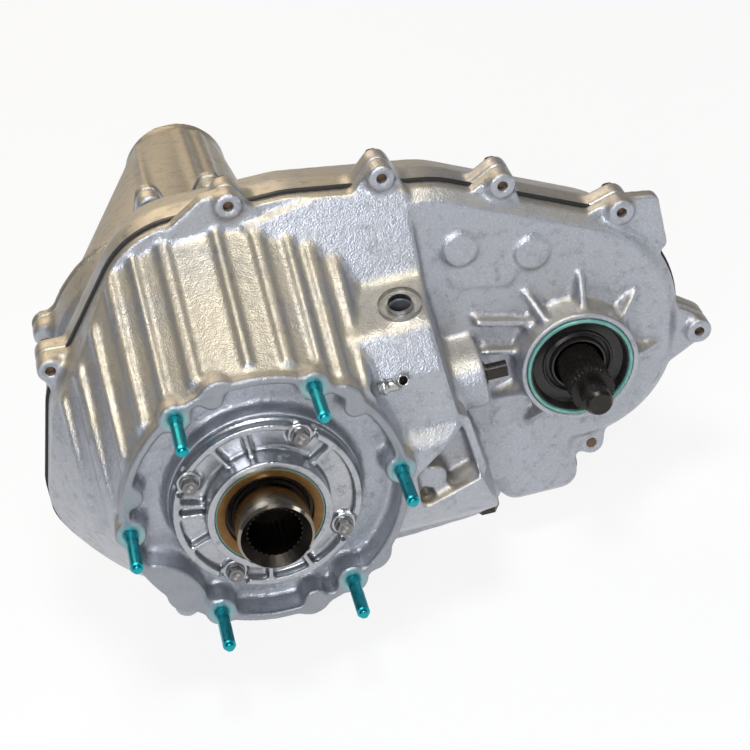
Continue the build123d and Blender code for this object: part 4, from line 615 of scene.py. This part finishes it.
stud_profile = [(3.0, -44.3), (3.5, -43.8), (3.5, -41.6), (4.2, -41.3)]
stud_profile += thread_rows(STUD_R, -40.8, STUD_PITCH, 70)
stud_profile += [(STUD_WAIST_R, -14.4), (STUD_WAIST_R, -8.0), (STUD_R, -7.6)]
stud_profile += thread_rows(STUD_R, -7.2, STUD_PITCH, 24)
stud_profile += [(STUD_R, STUD_BACK)]
studs = []
for stud_angle in range(0, 360, 60):
    stud_x = STUD_CIRCLE * cos(radians(stud_angle))
    stud_z = STUD_CIRCLE * sin(radians(stud_angle))
    studs.append(lathed("stud", stud_profile, teal_zinc, stud_x, stud_z, around=24, shape=stud_shape,
                        sharp=60))
stud_set = joined("stud_set", studs)
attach(stud_set, "case")
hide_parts("adapter_studs")


# Flanged hex bolts: cold forged steel with a dished top, grey phosphate finish with oil in it.
# Four clamp the bearing retainer. The others come through the cases and the tail housing from behind,
# and those in the lugs have rusted.
BOLT_R = 4.0
RETAINER_CIRCLE = 63.0
RETAINER_SEAT = -1.0
RETAINER_BOLT_LENGTH = 21.0
CASE_SEAT = 142.8
CASE_BOLT_LENGTH = 28.6
TAIL_BOLTS = [(-33, 158), (16, 157), (78, 72), (84, -14), (18, -78), (-70, -86), (-134, -30), (-136, 68)]
TAIL_SEAT = 224.0
TAIL_BOLT_LENGTH = 22.0
HEAD_OUTLINE = [(0.001, 2.02), (0.75, 2.02), (0.82, 1.90), (1.18, 1.90), (1.46, 1.84), (1.60, 1.70),
                (1.60, 0.62), (1.60, 0.44), (1.66, 0.40), (1.80, 0.25), (1.85, 0.18), (1.85, 0.0),
                (1.0, 0.0)]
HEX_FROM = 1.3
HEX_LIFT = 0.42
HEX_CORNER = 1.6


def flanged_bolt(x, z, seat, facing, length, material):
    """Bolt whose head stands forward of its seat when facing is -1, behind it when 1.

    Its head's outline is in bolt radii, and six flats are cut from it above the flange.
    """
    flat = HEX_CORNER * BOLT_R * cos(pi / 6)

    def hexed(reach, depth, angle):
        if reach < HEX_FROM * BOLT_R or abs(depth - seat) < HEX_LIFT * BOLT_R:
            return reach
        return min(reach, flat / cos((angle % (pi / 3)) - pi / 6))

    profile = [(reach * BOLT_R, seat + facing * lift * BOLT_R) for reach, lift in HEAD_OUTLINE]
    profile += [(BOLT_R, seat - facing * length), (0.001, seat - facing * length)]
    return lathed("bolt", profile, material, x, z, around=48, shape=hexed, sharp=28)


phosphate = finished("phosphate_steel", plated, {
    "Plating": (0.21, 0.205, 0.20, 1), "Worn": (0.50, 0.49, 0.47, 1), "Crevice shade": (0.05, 0.045, 0.04, 1),
    "Wear": 0.75, "Gloss": 0.36}, bump=0.00006)
rusty_steel = finished("rusty_steel", plated, {
    "Plating": (0.13, 0.060, 0.038, 1), "Worn": (0.22, 0.16, 0.12, 1), "Crevice shade": (0.02, 0.012, 0.01, 1),
    "Wear": 0.5, "Gloss": 0.5}, bump=0.0001)
retainer_bolts = []
for bolt_angle in range(57, 360, 90):
    bolt_x = RETAINER_CIRCLE * cos(radians(bolt_angle))
    bolt_z = RETAINER_CIRCLE * sin(radians(bolt_angle))
    retainer_bolts.append(flanged_bolt(bolt_x, bolt_z, RETAINER_SEAT, -1, RETAINER_BOLT_LENGTH, phosphate))
retainer_bolt_set = joined("retainer_bolt_set", retainer_bolts)
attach(retainer_bolt_set, "case")
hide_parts("retainer_bolts")
lug_bolt_set = joined("lug_bolt_set", [
    flanged_bolt(x, z, CASE_SEAT, 1, CASE_BOLT_LENGTH, rusty_steel) for x, z in LUG_BOLTS])
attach(lug_bolt_set, "case")
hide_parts("case_bolts")
tail_bolt_set = joined("tail_bolt_set", [
    flanged_bolt(x, z, TAIL_SEAT, 1, TAIL_BOLT_LENGTH, phosphate) for x, z in TAIL_BOLTS])
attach(tail_bolt_set, "case")
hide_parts("extension_bolts")


# Shafts and gears: machined steel. The input shaft's nose is ground and polished, and holds the
# splined bore that takes the transmission's shaft. Its spline starts a little inside the mouth.
NOSE_DEPTH = -0.0450
SPLINE_TIP_R = 0.0225
SPLINE_SETBACK = 0.0075
BORE_END = 0.010
BORE_R = 0.0258

turned_skin, turned_in, turned_out = shader_group(
    "turned_skin",
    [("Steel", COLOUR, (0.56, 0.55, 0.53, 1)), ("Oil", COLOUR, (0.18, 0.13, 0.08, 1)),
     ("Gloss", FLOAT, 0.2)],
    [("Color", COLOUR), ("Roughness", FLOAT), ("Height", FLOAT)])
stretch = turned_skin.nodes.new("ShaderNodeMapping")
stretch.inputs["Scale"].default_value = (40, 1800, 40)
turned_skin.links.new(object_place(turned_skin), stretch.inputs["Vector"])
lines = turned_skin.nodes.new("ShaderNodeTexNoise")
lines.inputs["Scale"].default_value = 1.0
lines.inputs["Detail"].default_value = 2
turned_skin.links.new(stretch.outputs[0], lines.inputs["Vector"])
smears = noise(turned_skin, 60, 4, 0.6)
oiled = remap(turned_skin, smears, 0.50, 0.75, 0.0, 0.65)
tone = tint(turned_skin, oiled, turned_in["Steel"], turned_in["Oil"])
unevenness = remap(turned_skin, smears, 0.3, 0.7, -0.05, 0.12)
dullness = combine(turned_skin, "ADD", turned_in["Gloss"], unevenness)
turned_skin.links.new(tone, turned_out["Color"])
turned_skin.links.new(dullness, turned_out["Roughness"])
turned_skin.links.new(lines.outputs["Fac"], turned_out["Height"])
# The nose's dark bronze colour is a painted reflection of dark, warm surroundings.
polished_steel_dark_reflection = finished("polished_steel_dark_reflection", turned_skin, {
    "Steel": (0.27, 0.235, 0.19, 1), "Oil": (0.12, 0.08, 0.05, 1), "Gloss": 0.16}, bump=0.00001)
# Near black steel, painted as the shade inside the input shaft's bore.
bore_shade_steel = finished("bore_shade_steel", turned_skin, {
    "Steel": (0.035, 0.030, 0.026, 1), "Oil": (0.02, 0.014, 0.010, 1), "Gloss": 0.38}, bump=0.00002)
gear_steel = finished("gear_steel", turned_skin, {
    "Steel": (0.42, 0.41, 0.40, 1), "Oil": (0.16, 0.11, 0.07, 1), "Gloss": 0.28}, bump=0.00003)


def dressed(material, *names):
    """Give CAD nodes that keep their own shape a finished material."""
    for name in names:
        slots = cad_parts[name].material_slots
        if not slots:
            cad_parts[name].data.materials.append(material)
        for slot in slots:
            slot.material = material


input_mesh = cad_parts["input_gear"].data.copy()
for corner in input_mesh.vertices:
    if corner.co.y < NOSE_DEPTH and Vector((corner.co.x, corner.co.z)).length < SPLINE_TIP_R:
        corner.co.y += SPLINE_SETBACK
input_mesh.materials.clear()
input_mesh.materials.append(polished_steel_dark_reflection)
input_mesh.materials.append(bore_shade_steel)
# Faces inside the bore take the painted shade.
for face in input_mesh.polygons:
    if face.center.y < BORE_END and Vector((face.center.x, face.center.z)).length < BORE_R:
        face.material_index = 1
input_shaft = placed("input_shaft", input_mesh)
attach(input_shaft, "input")
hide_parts("input_gear")
dressed(gear_steel, "pilot_bearing", "ring_gear", "ring_gear_snap_ring", "planet_carrier", "planet_gear_1",
        "planet_gear_2", "planet_gear_3", "planet_gear_4", "main_shaft", "mode_hub", "tone_wheel",
        "range_collar", "mode_sleeve", "drive_sprocket", "driven_sprocket", "drive_chain", "shaft_bearings",
        "shift_rail", "sector_plate", "range_fork", "mode_fork")


# Input seal: a brown rubber lip seal in a thin green painted shell, pressed into the retainer's neck.
# Behind its lip the throat is painted black, as shade.
brown_rubber = finished("brown_rubber", plated, {
    "Plating": (0.150, 0.072, 0.016, 1), "Worn": (0.26, 0.14, 0.040, 1), "Crevice shade": (0.05, 0.02, 0.01, 1),
    "Wear": 0.6, "Gloss": 0.32}, bump=0.00006, metallic=0.45)
# Black rubber, also used as the painted shade in the input seal's throat.
black_rubber_and_shade = finished("black_rubber_and_shade", plated, {
    "Plating": (0.010, 0.009, 0.009, 1), "Worn": (0.045, 0.024, 0.014, 1),
    "Crevice shade": (0.003, 0.003, 0.003, 1), "Wear": 0.8, "Gloss": 0.30}, bump=0.00004, metallic=0.0)
seal_paint = finished("seal_paint", plated, {
    "Plating": (0.03, 0.16, 0.15, 1), "Worn": (0.20, 0.34, 0.30, 1), "Crevice shade": (0.02, 0.03, 0.03, 1),
    "Wear": 0.6, "Gloss": 0.35}, bump=0.00003, metallic=0.3)
seal_lip = lathed("input_seal_lip", [
    (40.0, -15.9), (39.2, -16.0), (37.0, -15.6), (34.4, -14.9), (33.4, -14.4), (33.1, -13.2)],
    brown_rubber, around=96, closed_ends=False)
seal_throat = lathed("input_seal_throat", [
    (33.2, -13.4), (33.0, -9.4), (30.8, -8.6), (29.4, -10.2), (28.7, -9.6), (28.7, -7.2), (40.0, -7.2),
    (40.0, -15.7)], black_rubber_and_shade, around=96, closed_ends=False)
seal_shell = lathed("input_seal_shell", [
    (40.0, -7.1), (40.0, -16.0), (40.9, -16.0), (40.98, -15.7), (40.98, -7.1)], seal_paint, around=96,
    closed_ends=False)
for piece in (seal_lip, seal_throat, seal_shell):
    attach(piece, "case")
    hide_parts("input_seal")


# Front output seal: a green painted steel ring round a deep black rubber dish, with old oil in it.
# It is pressed into the case's front output bore. The tail and sector seals are the same black rubber.
ring_paint = finished("ring_paint", plated, {
    "Plating": (0.10, 0.31, 0.27, 1), "Worn": (0.42, 0.56, 0.50, 1), "Crevice shade": (0.03, 0.05, 0.04, 1),
    "Wear": 0.7, "Gloss": 0.33}, bump=0.00004, metallic=0.35)
output_ring = lathed("output_seal_ring", [
    (39.4, 80.5), (39.6, 79.2), (40.1, 78.6), (41.9, 78.6), (42.5, 79.2), (42.58, 80.0), (42.58, 91.0),
    (39.4, 91.0)], ring_paint, x=OUTPUT_X, around=128, closed_ends=False)
output_dish = lathed("output_seal_dish", [
    (39.4, 80.4), (38.4, 80.2), (37.4, 81.6), (36.2, 86.4), (33.0, 88.4), (28.5, 88.6), (27.6, 87.2),
    (26.6, 87.2), (25.6, 88.8), (23.2, 87.6), (21.8, 84.2), (20.4, 84.0), (20.1, 85.2), (20.1, 91.0),
    (39.4, 91.0)], black_rubber_and_shade, x=OUTPUT_X, around=128, closed_ends=False)
for piece in (output_ring, output_dish):
    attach(piece, "case")
    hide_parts("output_seal")
dressed(black_rubber_and_shade, "tail_seal", "sector_seal")


# Front output shaft: black oxided steel with a domed and threaded nose, a plain cone and a long spline.
# This finer outer end is set over the CAD shaft, which runs on inside the case.
NOSE_THREAD = (26.0, 40.5)
NOSE_PITCH = 1.5
NOSE_THREAD_DEPTH = 0.55
SPLINE = (46.5, 85.0)
SPLINE_TEETH = 28
SPLINE_DEPTH = 1.7
TOOTH_LAND = 0.30
TOOTH_FLANK = 0.35

black_oxide = finished("black_oxide", plated, {
    "Plating": (0.022, 0.019, 0.016, 1), "Worn": (0.075, 0.060, 0.048, 1),
    "Crevice shade": (0.006, 0.006, 0.006, 1), "Wear": 0.5, "Gloss": 0.30}, bump=0.00002, metallic=0.6)


def output_shape(radius, depth, angle):
    """Thread on the nose, then the spline's teeth, and round elsewhere."""
    if NOSE_THREAD[0] <= depth <= NOSE_THREAD[1]:
        return radius - NOSE_THREAD_DEPTH * thread_cut(depth, angle, NOSE_PITCH)
    if SPLINE[0] <= depth <= SPLINE[1]:
        wave = abs(2 * ((SPLINE_TEETH * angle / (2 * pi)) % 1) - 1)
        return radius - SPLINE_DEPTH * min(1.0, max(0.0, (wave - TOOTH_LAND) / TOOTH_FLANK))
    return radius


shaft_profile = [(0.001, 22.7), (3.5, 22.75), (6.5, 23.0), (8.6, 23.6), (10.1, 24.6), (11.0, 25.6)]
shaft_profile += thread_rows(11.0, 25.8, NOSE_PITCH, 41)
shaft_profile += [(10.2, 41.6), (10.2, 43.4), (12.6, 44.4), (15.6, 45.9), (17.5, 47.4), (17.5, 60),
                  (17.5, 75), (17.5, 84.4), (17.2, 86.0), (20.0, 86.0), (20.0, 112.0), (0.001, 112.0)]
output_nose = lathed("output_shaft_nose", shaft_profile, black_oxide, x=OUTPUT_X, around=168,
                     shape=output_shape, sharp=50)
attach(output_nose, "front_output")


# Vent: a zinc plated steel tube pressed into the chamber, with a crimped collar and a bent open end.
# Its path starts inside the chamber's wall, runs out to the right, and bends forward.
VENT_START = 0.0985
VENT_STEP = 0.0015
VENT_DEPTH = 0.018
VENT_HEIGHT = 0.064
VENT_BEND_X = 0.1120
VENT_BEND_R = 0.0052
VENT_RISE = 0.0007
VENT_R = 0.0046
VENT_BORE_R = 0.0034
VENT_CRIMP = {2: 0.0058, 3: 0.0066, 4: 0.0058}
VENT_BORE_FROM = 6
TUBE_SIDES = 28

bright_zinc = finished("bright_zinc", plated, {
    "Plating": (0.46, 0.46, 0.45, 1), "Worn": (0.68, 0.66, 0.60, 1), "Crevice shade": (0.06, 0.05, 0.04, 1),
    "Wear": 0.3, "Gloss": 0.30}, bump=0.00001)
vent_line = [Vector((VENT_START + VENT_STEP * step, VENT_DEPTH, VENT_HEIGHT)) for step in range(10)]
for step in range(1, 9):
    bend = radians(11 * step)
    vent_line.append(Vector((VENT_BEND_X + VENT_BEND_R * sin(bend),
                             VENT_DEPTH - VENT_BEND_R * (1 - cos(bend)),
                             VENT_HEIGHT + VENT_RISE * step)))
vent_line.append(vent_line[-1] + Vector((0.0004, -0.0018, 0.0008)))


def tube_rings(line, radii):
    """Rings square to a line of points; radii gives the ring's radius at each point."""
    rings = []
    side = Vector((0, 0, 1))
    for index, point in enumerate(line):
        ahead = (line[min(index + 1, len(line) - 1)] - line[max(index - 1, 0)]).normalized()
        side = (side - ahead * side.dot(ahead)).normalized()
        across = ahead.cross(side)
        angles = [2 * pi * step / TUBE_SIDES for step in range(TUBE_SIDES)]
        rings.append([point + radii[index] * (cos(angle) * side + sin(angle) * across) for angle in angles])
    return rings


bore_line = vent_line[VENT_BORE_FROM:]
outer_rings = tube_rings(vent_line, [VENT_CRIMP.get(index, VENT_R) for index in range(len(vent_line))])
bore_rings = tube_rings(bore_line, [VENT_BORE_R] * len(bore_line))
vent = swept_rings("vent_pipe", outer_rings + list(reversed(bore_rings)), bright_zinc)
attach(vent, "case")
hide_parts("vent_tube")


# Switch port: a turned boss with a chamfered mouth, standing a little proud of the chamber.
# It leans forward with the chamber's top, and is open for the range switch.
PORT_CENTRE = (0.130, 0.060, 0.1035)
PORT_LEAN = 14
port_face = lathed("port_face", [
    (16.6, -4.0), (16.2, 1.6), (15.7, 2.1), (10.2, 2.1), (9.2, 1.1), (9.2, -4.0)],
    retainer_aluminium, around=72, closed_ends=False)
port_face.data.transform(Matrix.Translation(PORT_CENTRE) @ Matrix.Rotation(radians(PORT_LEAN - 90), 4, "X"))
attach(port_face, "case")


# Small parts that keep their CAD shapes: the sector shaft, the plugs and the sump magnet are black,
# as is the front output shaft. The pump and its pickup are plain zinc, and the tail's bush is bronze.
bush_bronze = finished("bush_bronze", turned_skin, {
    "Steel": (0.52, 0.33, 0.16, 1), "Oil": (0.20, 0.12, 0.06, 1), "Gloss": 0.3}, bump=0.00003)
dressed(black_oxide, "sector_shaft", "drain_plug", "fill_plug", "sump_magnet", "front_output_shaft")
dressed(bright_zinc, "oil_pump", "pickup_tube", "pickup_screen")
dressed(bush_bronze, "tail_bushing")


# Sealant: a bead of black silicone squeezed out between the two cases and smeared along the joint.
# It stands a little proud all round, but not past the case's own left side.
BEAD_PROUD = 0.0019
BEAD_SIDE = -0.1626
black_sealant = finished("black_sealant", plated, {
    "Plating": (0.008, 0.008, 0.009, 1), "Worn": (0.022, 0.022, 0.024, 1),
    "Crevice shade": (0.004, 0.004, 0.004, 1), "Wear": 0.6, "Gloss": 0.5}, bump=0.0001, metallic=0.0)
bead = welded("case_sealant")
bead.normal_update()
for vertex in bead.verts:
    vertex.co += vertex.normal * BEAD_PROUD
    vertex.co.x = max(vertex.co.x, BEAD_SIDE)
bead_mesh = meshed("sealant_bead", bead)
bead_mesh.materials.append(black_sealant)
sealant_bead = placed("sealant_bead", bead_mesh)
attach(sealant_bead, "case")
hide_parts("case_sealant")
